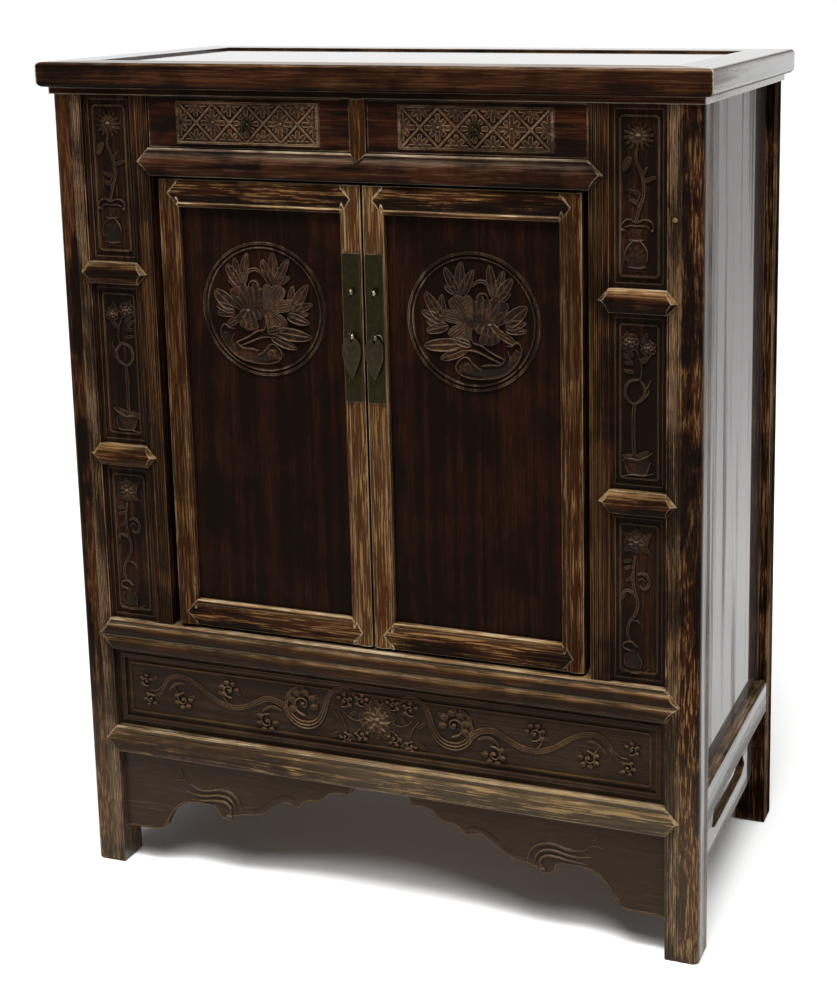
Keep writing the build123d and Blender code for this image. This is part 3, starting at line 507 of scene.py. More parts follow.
# joinery pieces, way of the grain, colours from the lacquer out to the sharpest edges, changed amounts
finishes = {
    "railLacquer": ("drawer_rail", "x", "black brown grey cream", dict(
        redness=0.9, rubbing=0.18, edgeWearAndHighlight=1.1, edgeFloor=0.25, upwardHighlight=0.75)),
    "doorRailLacquer": ("door_*_rails", "x", "black brown gold cream", dict(
        redness=0.9, rubbing=0.95, edgeWearAndHighlight=1.4, edgeFloor=0.3, upwardHighlight=1.3)),
    "columnRailLacquer": ("column_rails", "x", "black brown gold cream", dict(
        redness=1.0, rubbing=0.45, edgeWearAndHighlight=1.2, edgeFloor=0.4, upwardHighlight=1.0)),
    "sillLacquer": ("sill_rail", "x", "peat brown gold cream", dict(
        redness=0.4, rubbing=0.15, edgeWearAndHighlight=1.3, edgeFloor=0.6, upwardHighlight=0.75, specular=0.03,
        zone=("X", -120, 160, 0.6, 1.1))),
    "wornRailLacquer": ("bottom_rail", "x", "umber honey straw cream", dict(
        redness=0.5, rubbing=1.6, edgeWearAndHighlight=1.3, edgeFloor=0.5, upwardHighlight=1.0, specular=0.03,
        zone=("X", -260, 20, 0.5, 2.0))),
    "lowLacquer": ("lower_panel*", "x", "peat umber honey ochre", dict(
        redness=1.0, rubbing=0.35, edgeWearAndHighlight=1.0, edgeFloor=0.3, gloss=0.30, specular=0.05, creviceReach=5)),
    "apronLacquer": ("apron_*", "x", "umber umber ochre gold", dict(
        redness=0.3, rubbing=0.20, edgeWearAndHighlight=1.5, edgeRadius=2.6, edgeFloor=0.4, gloss=0.30, specular=0.08)),
    "deepLacquer": ("side_rail_* side_apron_*", "y", "black brown gold cream", dict(
        rubbing=0.6, edgeWearAndHighlight=1.1, edgeRadius=2.4, upwardHighlight=0.3, gloss=0.30, bump=0.06, coat=0.85)),
    "frameLacquer": ("door_*_pivot_stile drawer_mullion", "z", "russet brown gold cream", dict(
        redness=0.6, rubbing=0.90, edgeWearAndHighlight=1.0, rubFloor=0.35, zone=("Z", 760, 250, 0.80, 1.10))),
    "meetingLacquer": ("door_*_meeting_stile", "z", "brown honey gold cream", dict(
        redness=0.9, rubbing=1.5, edgeWearAndHighlight=1.2, edgeFloor=0.3, rubFloor=0.55)),
    "reedLacquer": ("jamb_*", "z", "black brown ochre gold", dict(
        redness=0.6, rubbing=0.22, edgeRadius=1.1, edgeFloor=0.20, creviceReach=2.2, creviceFrom=0.9)),
    "columnPanelLacquer": ("column_panel_*", "z", "black brown ochre grey", dict(
        redness=0.4, rubbing=0.10, edgeRadius=1.4, edgeFloor=0.3, specular=0.03)),
    "postLacquer": ("post_front_right", "post", "black brown gold cream", dict(postLook, rubbing=0.95)),
    "leftPostLacquer": ("post_front_left", "post", "black brown gold cream", dict(postLook, rubbing=0.35)),
    "rearPostLacquer": ("post_rear_*", "z", "black brown gold cream", dict(
        redness=0.9, rubbing=1.0, edgeWearAndHighlight=1.4, edgeRadius=2.0, specular=0.0, gloss=0.5, creviceReach=3)),
    "sideLacquer": ("side_panel_*", "z", "mauve mauve gold cream", dict(
        rubbing=0.05, edgeWearAndHighlight=0.5, edgeRadius=2.4, gloss=0.40, glossBands=0.10, specular=0.01, bump=0.04,
        coat=0.84, zone=("Z", 950, 250, 0.75, 1.10))),
    "topLacquer": ("top_panel", "x", "black brown gold cream", dict(
        rubbing=0.3, edgeWearAndHighlight=1.0, edgeRadius=2.4, gloss=0.04, glossBands=0.04, specular=1.0, bump=0.01,
        coat=1.0, coatBands=False)),
    "topBackLacquer": ("top_back_member", "x", "black brown gold cream", dict(
        rubbing=0.3, edgeWearAndHighlight=1.0, edgeRadius=2.4, gloss=0.20, specular=0.05, bump=0.02, coat=1.0)),
    "topSideLacquer": ("top_left_member top_right_member", "y", "mauve mauve gold cream", dict(
        rubbing=0.1, edgeWearAndHighlight=1.0, edgeRadius=2.4, gloss=0.30, specular=0.05, bump=0.02, coat=1.0, coatIor=1.9)),
    "topEdgeLacquer": ("top_front_member", "x", "black brown ochre cream", dict(
        redness=0.60, rubbing=0.12, edgeWearAndHighlight=1.6, edgeRadius=2.2, edgeFloor=0.25, gloss=0.10, bump=0.06,
        upwardHighlight=0.25)),
    "doorBoardLacquer": ("door_*_panel", "z", "black red ochre paleGrey", dict(
        redness=0.32, rubbing=0.03, edgeWearAndHighlight=0.7, edgeRadius=1.6, gloss=0.25, seam=137.0)),
    "drawerLacquer": ("drawer_*_front", "x", "black red gold cream", dict(
        redness=1.0, rubbing=0.08, edgeWearAndHighlight=0.6, edgeRadius=2.4, specular=0.03)),
    "insideWoodAcross": ("shelf cupboard_floor dust_board bottom_board back_*", "x",
                         "rawDark rawMid rawPale rawEdge", rawLook),
    "insideWoodDeep": ("drawer_guides drawer_*_box", "y", "rawDark rawMid rawPale rawEdge", rawLook),
    "carvedLacquer": ("", "none", "soot brown honey grey", dict(
        carvedLook, redness=0.25, rubbing=0.25, gloss=0.24, edgeRadius=0.8, edgeSense=0.5, creviceFrom=0.85,
        specular=0.06, crest=(-188.0, 1.7, 2.8))),
    "carvedDoorLacquer": ("", "none", "soot brown honey grey", dict(
        carvedLook, redness=0.6, rubbing=0.7, gloss=0.24, edgeRadius=0.9, edgeFloor=0.45, creviceFrom=0.85,
        specular=0.08, crest=(-185.0, 2.0, 3.3))),
    "carvedLowLacquer": ("", "none", "peat brown ochre grey", dict(
        carvedLook, redness=0.3, rubbing=0.30, edgeRadius=1.0, creviceFrom=0.92, specular=0.06,
        crest=(-186.0, 1.6, 3.0))),
    "carvedApronLacquer": ("", "none", "umber umber ochre grey", dict(
        carvedLook, redness=0.3, rubbing=0.30, edgeRadius=1.0, creviceFrom=0.90, specular=0.08,
        crest=(-187.0, 1.1, 2.7))),
    "carvedPaleLacquer": ("", "none", "peat brown ochre paleGrey", dict(
        carvedLook, redness=0.4, rubbing=0.40, edgeWearAndHighlight=1.1, edgeRadius=0.8, edgeSense=0.5, edgeFloor=0.45,
        creviceReach=2.2, creviceFrom=0.90, specular=0.08, crest=(-194.0, 0.6, 1.3))),
    "plugWood": ("", "none", "honey ochre straw straw", dict(
        redness=0.6, rubbing=0.5, edgeWearAndHighlight=0.4, edgeRadius=2.4, gloss=0.5, specular=0.12)),
}
# metal pieces, dark and light patina
brasses = {
    "oldBrass": ("*_plate drawer_*_ring", (0.0130, 0.0108, 0.0036), (0.0230, 0.0190, 0.0070)),
    "pullBrass": ("door_*_leaf_pull", (0.0240, 0.0185, 0.0090), (0.0420, 0.0320, 0.0180)),
    "rubbedBrass": ("", (0.16, 0.13, 0.08), (0.38, 0.32, 0.22)),
}
brassWearAndHighlight = {"stain": (0.016, 0.012, 0.007), "edge": (0.16, 0.12, 0.06), "edgeRadius": 0.9}


def oldBrass(name, low, high):
    tree, shader = newMaterial(name)
    where = addNode(tree, "TexCoord").outputs["Object"]
    mottled = noiseNode(tree, where, 160, 4, 0.65)
    cloud = noiseNode(tree, where, 34, 3, 0.6)
    agree, _ = softEdge(tree, brassWearAndHighlight["edgeRadius"])
    color = mixColor(tree, rampNode(tree, mottled, 0.40, 0.75), low, high)
    color = mixColor(tree, rampNode(tree, cloud, 0.50, 0.72, 0.0, 0.6), color, brassWearAndHighlight["stain"])
    # lighter worn edges, partly a painted highlight that outlines the brass
    color = mixColor(tree, rampNode(tree, agree, 0.98, 0.90, 0.0, 0.6), color, brassWearAndHighlight["edge"])
    feed(tree, shader, {
        "Base Color": color, "Roughness": rampNode(tree, cloud, 0.35, 0.7, 0.30, 0.50),
        "Metallic": 0.7, "Specular IOR Level": 0.1,
    })
    addBump(tree, shader, mottled, 0.35, 0.25)


for finishName, (nodes, along, colors, changes) in finishes.items():
    lacquer(finishName, along, colors, **changes)
    dress(nodes, materials[finishName])
for brassName, (nodes, low, high) in brasses.items():
    oldBrass(brassName, low, high)
    dress(nodes, materials[brassName])
print("finishes on", len(cadNodes), "joinery pieces")


# ---- carving tools: shapes lie flat, x to the right, y up, z out of the panel, and are turned up at the end ----

ball = {"segments": 28, "rings": 14}
# how far each shape reaches below the face it stands on
rootDepth = 0.35


def finishPiece(piece, body, finishName):
    piece.data.materials.clear()
    piece.data.materials.append(materials[finishName])
    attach(piece, body)


def ringBall(name, widths, profile):
    # a ball with its poles at the base (x 0) and the tip (x 1); profile lifts or sinks the lines from pole to pole
    deselectAll()
    bpy.ops.mesh.primitive_uv_sphere_add(segments=ball["segments"], ring_count=ball["rings"], radius=0.5,
                                         location=(0.5, 0, 0), rotation=(0, math.radians(90), 0))
    shape = settle(bpy.context.object)
    shape.name = name
    for step, factor in enumerate(profile):
        angle = math.radians(360 / ball["segments"] * (step + 1))

        def onLine(co):
            return math.hypot(co.y, co.z) > 1e-4 and abs(math.atan2(co.z, abs(co.y)) - angle) < 0.01

        resizeWhere(shape, onLine, (1, 1, factor))
    resizeWhere(shape, lambda co: co.z < -1e-4, (1, 1, 0.3))
    for step, width in enumerate(widths):
        turn = math.pi * (step + 1) / ball["rings"]
        along, girth = 0.5 - 0.5 * math.cos(turn), math.sin(turn)
        rise = (0.35 * width + 0.65) * min(1, 1.6 * width)
        resizeWhere(shape, lambda co: abs(co.x - along) < 1e-3, (1, width / girth, rise / girth), (along, 0, 0))
    resizeWhere(shape, lambda co: True, (1, 1, 2))
    shape.hide_render = True
    return shape


def placed(master, base, tip, width, rise, lift=0.0):
    # a copy of a master shape from base to tip, in mm
    copy = copyOf(master)
    copy.hide_render = False
    reach = Vector(tip) - Vector(base)
    turn = math.atan2(reach.y, reach.x)
    copy.location = (base[0] * mm, base[1] * mm, (lift - rootDepth) * mm)
    copy.rotation_euler = (0, 0, turn)
    copy.scale = (reach.length * mm, width * mm, (rise + rootDepth) * mm)
    return copy


def sectionCurve(name, humps):
    # cross-section of a stem or a band: one or more round humps side by side, closed below
    data = bpy.data.curves.new(name, "CURVE")
    data.dimensions = "2D"
    points = [(1.0, -0.25), (-1.0, -0.25)]
    steps = 8 if humps == 1 else 6
    for hump in range(humps):
        for step in range(steps + 1):
            if hump and step == 0:
                continue
            share = step / steps
            x = -1 + 2 * (hump + share) / humps
            bump = math.sin(math.pi * share)
            points.append((x, bump if humps == 1 else 0.16 * (1 - abs(x) ** 3) + 0.84 * bump))
    spline = data.splines.new("POLY")
    spline.points.add(len(points) - 1)
    for point, (x, y) in zip(spline.points, points):
        point.co = (x * mm, y * mm, 0, 1)
    spline.use_cyclic_u = True
    return addObject(name, data)


def strand(points, section, rise, lift=0.0, closed=False):
    # a stem or band through (x, y, half width) points, in mm
    deselectAll()
    bpy.ops.curve.primitive_bezier_curve_add(location=(0, 0, 0))
    stem = bpy.context.object
    data = stem.data
    data.dimensions = "2D"
    data.resolution_u = 7
    data.bevel_mode = "OBJECT"
    data.bevel_object = section
    data.use_fill_caps = True
    spline = data.splines[0]
    spline.bezier_points.add(len(points) - 2)
    for point, (x, y, width) in zip(spline.bezier_points, points):
        point.co = (x * mm, y * mm, 0)
        point.handle_left_type = point.handle_right_type = "AUTO"
        point.radius = width
    spline.use_cyclic_u = closed
    makeActive(stem)
    bpy.ops.object.convert(target="MESH")
    stem = bpy.context.object
    top = max(vertex.co.z for vertex in stem.data.vertices)
    stem.scale = (1, 1, (rise + rootDepth) * mm / top)
    stem.location = (0, 0, (lift - rootDepth) * mm)
    return settle(stem)


def flower(master, center, reach, count, width, rise, lift=0.0, turn=0.0, start=0.2):
    # petals around a centre; reach is (across, up)
    petals = []
    for number in range(count):
        angle = math.radians(turn + 360 * number / count)
        way = Vector((math.cos(angle) * reach[0], math.sin(angle) * reach[1]))
        middle = Vector(center)
        petals.append(placed(master, middle + way * start, middle + way, width, rise, lift))
    return petals


def knob(center, radius, rise, lift=0.0):
    x, z = center
    return placed(knobMaster, (x - radius, z), (x + radius, z), 2 * radius, rise, lift)


def carve(name, body, slotName, finishName, faceY, pieces, voxel, triangles, smoothing=2):
    # one closed carving from all its overlapping shapes, let into the face it stands on
    settle(pieces[0])
    relief = joinAll(pieces, name)
    relief.rotation_euler = (math.radians(90), 0, 0)
    relief.location = (0, faceY * mm, 0)
    settle(relief)
    addModifier(relief, "REMESH", mode="VOXEL", voxel_size=voxel * mm)
    addModifier(relief, "SMOOTH", factor=0.5, iterations=smoothing)
    faces = 2 * len(relief.data.polygons)
    addModifier(relief, "DECIMATE", ratio=min(1.0, triangles / faces))
    smooth(relief, 60)
    finishPiece(relief, body, finishName)
    print(name, faces, "to", len(relief.data.polygons), "triangles")
    return relief


def mirrored(right, body, finishName):
    # the same piece on the other side of the middle
    left = copyOf(right)
    left.name = left.data.name = right.name.replace("right", "left")
    left.parent = None
    left.scale = (-1, 1, 1)
    settle(left)
    bpy.ops.object.mode_set(mode="EDIT")
    bpy.ops.mesh.select_all(action="SELECT")
    bpy.ops.mesh.normals_make_consistent(inside=False)
    bpy.ops.object.mode_set(mode="OBJECT")
    finishPiece(left, body.replace("right", "left"), finishName)
    return left


def carvePair(name, body, slotName, finishName, *shape):
    return mirrored(carve(name, body, slotName, finishName, *shape), body, finishName)


leafWidths = (0.30, 0.52, 0.72, 0.88, 0.97, 1.0, 0.98, 0.92, 0.82, 0.68, 0.50, 0.32, 0.14)
petalWidths = (0.35, 0.50, 0.62, 0.72, 0.80, 0.88, 0.95, 1.0, 1.0, 0.97, 0.88, 0.70, 0.42)
narrowWidths = (0.40, 0.55, 0.66, 0.76, 0.85, 0.92, 0.97, 1.0, 1.0, 0.94, 0.82, 0.62, 0.34)
rimLeaf = ringBall("rimLeaf", leafWidths, (3.9, 2.35, 1.05, 0.66, 0.54, 0.56, 0.92))
shellPetal = ringBall("shellPetal", petalWidths, (3.8, 2.19, 0.96, 1.21, 0.67, 0.97, 0.60))
leafMaster = ringBall("leafMaster", leafWidths, (2.4, 1.95, 1.40, 1.08, 0.92, 0.88, 0.42))
petalMaster = ringBall("petalMaster", petalWidths, (2.6, 2.2, 1.55, 1.00, 0.72, 0.60, 0.55))
narrowMaster = ringBall("narrowMaster", narrowWidths, (1.4, 1.3, 1.15, 1.0, 0.90, 0.80, 0.60))
knobMaster = ringBall("knobMaster", tuple(math.sin(math.pi * n / ball["rings"]) for n in range(1, ball["rings"])),
                      (1.0,) * 7)
roundStem = sectionCurve("roundStem", 1)
doubleStem = sectionCurve("doubleStem", 2)
tripleStem = sectionCurve("tripleStem", 3)
print("carving shapes ready")


# ---- flower medallions on the doors ----

medallion = {
    "face": -185.0,
    "offset": (4.5, 1.3),
    # tip x, tip z, base x, base z, width, rise
    "leaves": [
        (90.8, 779, 107, 748, 11.5, 3.2), (110.7, 786, 109, 748, 13.5, 3.6), (125, 777, 112, 748, 12.5, 3.2),
        (89.5, 758, 106.5, 749, 8, 2.4), (143.8, 784, 149.6, 746, 12, 3.6), (160.6, 778.5, 152.5, 746, 10.5, 3.0),
        (171, 770, 153, 745, 13, 3.4), (169, 754, 154, 744, 9, 2.6), (67.6, 750, 88, 718, 14.5, 3.4),
        (87, 748, 89, 718, 10.5, 3.2), (62.2, 728, 93, 715.5, 11.5, 2.8), (67, 705, 95, 713, 12, 3.2),
        (66.5, 716, 93, 714.5, 8, 2.6), (187.2, 739, 162, 717, 18, 3.4), (186.5, 721, 161, 715.5, 10.5, 3.2),
        (186.6, 711.5, 161, 712.5, 10, 2.8), (173.2, 697, 158, 706, 9.5, 2.6), (64, 688.4, 110, 693, 15.5, 3.6),
        (97.7, 699, 121.7, 692, 9, 3.4), (83.3, 674, 117, 688, 12, 3.0),
    ],
    # kind, rise, then x, z and half width along the stem
    "stems": [
        ("round", 3.0, [(126, 694.5, 1.4), (133.7, 692.5, 1.7), (144, 686, 1.6), (161, 678, 1.5)]),
        ("round", 3.0, [(112, 686, 1.4), (122, 686.5, 1.6), (131, 684.5, 1.6), (144, 679, 1.5), (155, 674.5, 1.4)]),
        ("round", 2.8, [(122, 703, 1.8), (123.5, 696, 1.8), (130, 692.5, 1.5)]),
        ("round", 3.0, [(107.5, 752, 1.6), (112, 745, 1.8), (119, 738, 1.6)]),
        ("double", 3.2, [(124, 758, 1.6), (129.5, 763.5, 2.4), (137, 764.5, 2.8), (143.4, 759.5, 2.6),
            (146.3, 751, 2.2), (148, 742, 1.6)]),
        ("round", 3.2, [(127.8, 740.5, 1.0), (130, 748, 1.6), (134.8, 751.3, 1.6), (140.2, 749.5, 1.5),
            (143.5, 742, 1.2)]),
    ],
    "rocks": [
        ("round", 1.1, [(106, 665, 5.5), (116, 667, 9.5), (130, 662, 6.0), (146, 665, 8.5), (160, 667, 8.0),
            (171, 677, 7.5), (176, 689, 5.5)]),
        ("round", 2.9, [(107, 659, 1.2), (103, 666, 1.3), (107, 674, 1.3), (115, 678.5, 1.3), (124, 671, 1.3),
            (132.5, 664.5, 1.0)]),
        ("round", 2.9, [(133, 669.5, 1.0), (142, 671.5, 1.3), (155, 673, 1.3), (161, 678, 1.0)]),
        ("round", 2.9, [(163, 694, 0.9), (169, 694.5, 1.4), (176, 698.5, 1.5), (180.5, 691, 1.3), (178.5, 681, 1.3),
            (171, 670, 1.3), (158, 660, 1.3), (140, 655.5, 1.3), (120, 655, 1.3), (108, 658, 1.3)]),
        ("round", 2.5, [(164, 688, 0.8), (167, 680, 1.1), (165, 672, 0.9)]),
        ("round", 2.4, [(112, 668, 0.8), (117, 671, 1.0), (122, 665, 0.8)]),
    ],
    # ribbed petals, round lobes and small scales of the open flower, as the leaves
    "shells": [
        (99.6, 746, 120, 718, 18, 3.2), (87.0, 726, 120, 719.5, 14.5, 3.0), (96.5, 698.5, 120, 717, 17, 3.2),
        (114, 696.5, 120.5, 715, 12, 3.0), (117.7, 749, 121, 721, 11, 3.4),
    ],
    "lobes": [
        (125.2, 743, 126, 719, 8, 3.4), (133.4, 750, 133.4, 720, 9.5, 3.6), (140.6, 744.5, 139.6, 717, 13, 3.4),
        (151.6, 745.5, 142.7, 717, 15, 3.2), (163.5, 742.5, 144.4, 717, 16, 3.0), (163.5, 729, 145.2, 715.5, 14, 2.8),
    ],
    "scales": [
        (134.6, 694, 140, 711, 10, 3.0), (143.7, 692.5, 143.4, 709, 10, 3.2), (152.6, 696, 146, 709, 10, 3.0),
        (160.3, 704, 147.7, 711, 10, 2.8), (137.4, 704, 141, 716.5, 8, 4.0), (145.9, 702, 144.4, 715, 8, 4.2),
        (153.6, 709, 146.1, 717, 8.5, 4.0), (130.5, 706, 134, 717, 8, 3.6),
    ],
    # x, z, radius, rise
    "hearts": [
        (126.0, 717.0, 8.0, 2.6), (140.0, 717.0, 9.0, 2.8), (133.0, 712.0, 8.0, 2.4), (144.0, 716.0, 2.6, 4.4),
    ],
}


def stemsOf(rows, across=0.0, up=0.0):
    sections = {"round": roundStem, "double": doubleStem, "triple": tripleStem}
    return [strand([(x + across, z + up, width) for x, z, width in points], sections[kind], rise)
            for kind, rise, points in rows]


def leavesOf(rows, across=0.0, up=0.0, master=leafMaster):
    return [placed(master, (baseX + across, baseZ + up), (tipX + across, tipZ + up), width, rise)
            for tipX, tipZ, baseX, baseZ, width, rise in rows]


def makeMedallion():
    across, up = medallion["offset"]
    pieces = leavesOf(medallion["leaves"], across, up, rimLeaf)
    pieces += stemsOf(medallion["stems"] + medallion["rocks"], across, up)
    pieces += leavesOf(medallion["shells"], across, up, shellPetal)
    pieces += leavesOf(medallion["lobes"] + medallion["scales"], across, up, petalMaster)
    pieces += [knob((x + across, z + up), radius, rise) for x, z, radius, rise in medallion["hearts"]]
    carvePair("medallion_right", "door_right", "red_lacquer", "carvedDoorLacquer", medallion["face"], pieces, 0.45,
              120000)


makeMedallion()


# ---- flower vases and sprays in the six narrow panels ----

# leaves and stems as on the medallions; flowers: x, z, reach x, reach z, petals, width, rise, lift, turn
# knobs: x, z, radius, rise, lift
upperColumn = {
    "leaves": [
        (300, 890.5, 309.5, 907, 8.5, 2.6), (327.5, 897, 321, 884, 4, 2.0), (337.5, 886.5, 323, 881, 5, 2.2),
        (305, 872.5, 321, 868, 5, 2.2), (307, 862, 319, 858, 5.5, 2.4),
    ],
    "stems": [
        ("double", 2.4, [(316, 914, 1.8), (315.5, 905, 2.2), (320, 893, 2.4), (323.5, 880, 2.4), (324, 868, 2.4),
            (320, 855, 2.4), (315, 838, 2.2)]),
        ("round", 2.2, [(320, 868, 1.6), (317, 858, 1.7), (318, 848, 1.5)]),
        ("round", 2.5, [(315, 837, 1.4), (308, 841, 1.7), (301, 837.5, 1.8), (299.5, 831, 1.6), (303.5, 829, 1.2)]),
        ("round", 2.5, [(316, 837, 1.4), (324, 841, 1.7), (332, 838.5, 1.8), (334.5, 832, 1.6), (330.5, 829, 1.2)]),
        ("round", 2.3, [(303, 832.5, 1.0), (309, 834.5, 1.6), (316, 834, 1.8), (323, 834.5, 1.6), (330, 832.5, 1.0)]),
        ("round", 1.6, [(316, 831, 7.5), (316, 826, 5.5), (316, 820, 6.0), (316, 812, 10.5), (316, 803, 12.8),
            (316, 795, 11.5), (316, 790, 8.5), (316, 785.5, 10.5)]),
        ("round", 3.3, [(304.5, 797, 0.8), (303.5, 804, 1.1), (306.5, 812, 1.1), (311.5, 818, 0.9)]),
        ("round", 3.3, [(327.5, 797, 0.8), (328.5, 804, 1.1), (325.5, 812, 1.1), (320.5, 818, 0.9)]),
        ("round", 3.2, [(308, 819.5, 0.8), (316, 818.5, 1.1), (324, 819.5, 0.8)]),
        ("round", 3.0, [(306, 790.5, 0.8), (316, 789.5, 1.1), (326, 790.5, 0.8)]),
    ],
    "flowers": [(318, 928.5, 17, 16, 14, 3.9, 2.2, 0.0, 6), (318, 928.5, 10.5, 10, 11, 3.2, 2.6, 0.5, 0)],
    "knobs": [(318, 928.5, 3.2, 3.4, 0.6), (300.5, 829.5, 2.2, 2.6, 0), (333, 829.5, 2.2, 2.6, 0)],
}
middleColumn = {
    "leaves": [
        (299.5, 697, 310, 690, 5.5, 2.4), (303, 702, 313, 694, 5.5, 2.2), (301.5, 686, 313, 687, 5.5, 2.2),
        (331, 697, 321, 687, 6.5, 2.6), (300, 678.5, 314, 676, 4.5, 2.2), (328, 720, 322, 708, 5.5, 2.2),
        (303, 722, 311, 712, 5, 2.0), (330, 590, 316, 583, 5.5, 2.6), (297, 583.5, 312, 582, 5.5, 2.6),
    ],
    "stems": [
        ("round", 2.2, [(316, 700, 1.4), (320, 690, 1.7), (322, 678, 1.8), (320, 668, 1.7)]),
        ("double", 2.5, [(319, 669, 1.4), (309, 666.5, 2.0), (303.5, 657, 2.2), (306, 647, 2.1), (313, 641.5, 1.8)]),
        ("double", 2.5, [(319, 669, 1.4), (325, 660, 2.0), (323.5, 649.5, 2.1), (314, 641.5, 1.8)]),
        ("round", 2.3, [(323, 653, 1.2), (329.5, 663, 1.6), (331.5, 669, 1.0)]),
        ("round", 2.3, [(322, 646, 1.2), (328.5, 653, 1.5), (329.5, 658, 0.8)]),
        ("double", 2.4, [(314, 643, 2.8), (313, 630, 3.2), (313, 605, 3.2), (313.5, 584, 3.0)]),
        ("round", 1.4, [(317, 586, 13.0), (317, 580, 14.5), (317, 573, 13.0), (317, 566, 11.0), (317, 561, 10.5)]),
        ("round", 2.9, [(299, 578, 1.0), (308, 581, 1.5), (317, 580, 1.5), (326, 583.5, 1.6), (334, 589, 1.1)]),
        ("round", 2.8, [(303, 577, 0.8), (305, 569, 1.1), (308, 562.5, 0.9)]),
        ("round", 2.8, [(331, 577, 0.8), (329, 569, 1.1), (326, 562.5, 0.9)]),
        ("round", 2.7, [(300, 560.5, 1.0), (310, 563, 1.4), (324, 563, 1.4), (335, 566, 1.0)]),
    ],
    "flowers": [
        (308.5, 709, 11, 10.5, 7, 7.5, 2.4, 0.0, 10), (329, 704, 9, 9.5, 6, 7, 2.4, 0.0, 30),
        (308.5, 709, 6, 5.5, 5, 5, 2.4, 0.6, 40), (329, 704, 5, 5, 5, 4.4, 2.4, 0.6, 0),
    ],
    "knobs": [(308.5, 709, 2.3, 3.2, 0.6), (329, 704, 2.0, 3.2, 0.6)],
}
lowerColumn = {
    "leaves": [
        (299.5, 463.5, 311.5, 466.5, 5, 2.2), (300.5, 455, 311, 459.5, 4.5, 2.1), (303, 441, 312, 447, 4.2, 1.9),
        (300, 499, 309, 490, 6, 2.2), (333, 498, 324, 490, 6, 2.2), (316, 505, 316, 494, 7, 2.2),
        (332, 476, 322, 482, 6, 2.2), (301, 476, 310, 482, 6, 2.2), (299.5, 419, 303, 430, 3.6, 2.0),
        (325, 386, 321, 395, 3.4, 2.0),
    ],
    "stems": [
        ("double", 2.4, [(315, 472, 1.8), (313, 459, 2.2), (312.5, 445, 2.4), (314.5, 431, 2.4), (318, 418, 2.4),
            (315.5, 406, 2.4), (309, 396, 2.3), (306, 385, 2.2), (308, 374, 2.0)]),
        ("double", 2.6, [(316, 450, 1.4), (323, 452.5, 2.2), (329.5, 448, 2.4), (330, 439.5, 2.2), (324, 434.5, 1.8),
            (319.5, 438, 1.2)]),
        ("round", 2.2, [(318, 443, 0.8), (323, 446.5, 1.1), (326, 443, 0.8)]),
        ("double", 2.5, [(317, 421, 1.6), (311.5, 429.5, 2.2), (304, 431, 2.2), (299.5, 425, 1.8)]),
        ("round", 2.4, [(311, 397, 1.4), (317, 397, 1.8), (322.5, 393.5, 1.7)]),
        ("round", 2.7, [(309, 362, 1.6), (300.8, 367, 1.6), (309, 372.5, 1.6), (317.6, 367, 1.6)]),
        ("round", 1.5, [(311, 362, 5.5), (312, 354, 9.5), (312.5, 346, 10.5), (312.5, 341, 9.0)]),
        ("round", 2.9, [(304, 358, 0.8), (302.5, 350, 1.1), (305, 343, 0.9)]),
        ("round", 2.9, [(318, 358, 0.8), (322.5, 350, 1.1), (321, 343, 0.9)]),
        ("round", 2.6, [(297, 343.5, 1.0), (304, 338.5, 1.6), (314, 336.5, 1.9), (324, 338, 1.6), (331, 342.5, 1.0)]),
    ],
    "flowers": [(316, 487, 14, 13, 9, 8, 2.3, 0.0, 18), (316, 487, 8.5, 8, 6, 6, 2.4, 0.5, 0)],
    "knobs": [(316, 487, 2.4, 3.4, 0.5)],
}
columnCarving = {
    "face": -188.0,
    "middleLine": 319.0,
    "motifs": {"upper": upperColumn, "middle": middleColumn, "lower": lowerColumn},
}


def columnPieces(motif):
    pieces = leavesOf(motif["leaves"]) + stemsOf(motif["stems"])
    for x, z, reachX, reachZ, count, width, rise, lift, turn in motif["flowers"]:
        master = narrowMaster if count > 10 else petalMaster
        pieces += flower(master, (x, z), (reachX, reachZ), count, width, rise, lift, turn)
    pieces += [knob((x, z), radius, rise, lift) for x, z, radius, rise, lift in motif["knobs"]]
    return pieces


for level, motif in columnCarving["motifs"].items():
    left = carvePair("column_carving_right_" + level, "carcass", "dark_lacquer", "carvedLacquer",
                     columnCarving["face"], columnPieces(motif), 0.45, 42000)
    if level != "middle":
        # the same way round as on the right, turned over again about its own middle line
        for vertex in left.data.vertices:
            vertex.co.x = -2 * columnCarving["middleLine"] * mm - vertex.co.x
        left.data.flip_normals()


# ---- vine along the lower panel ----

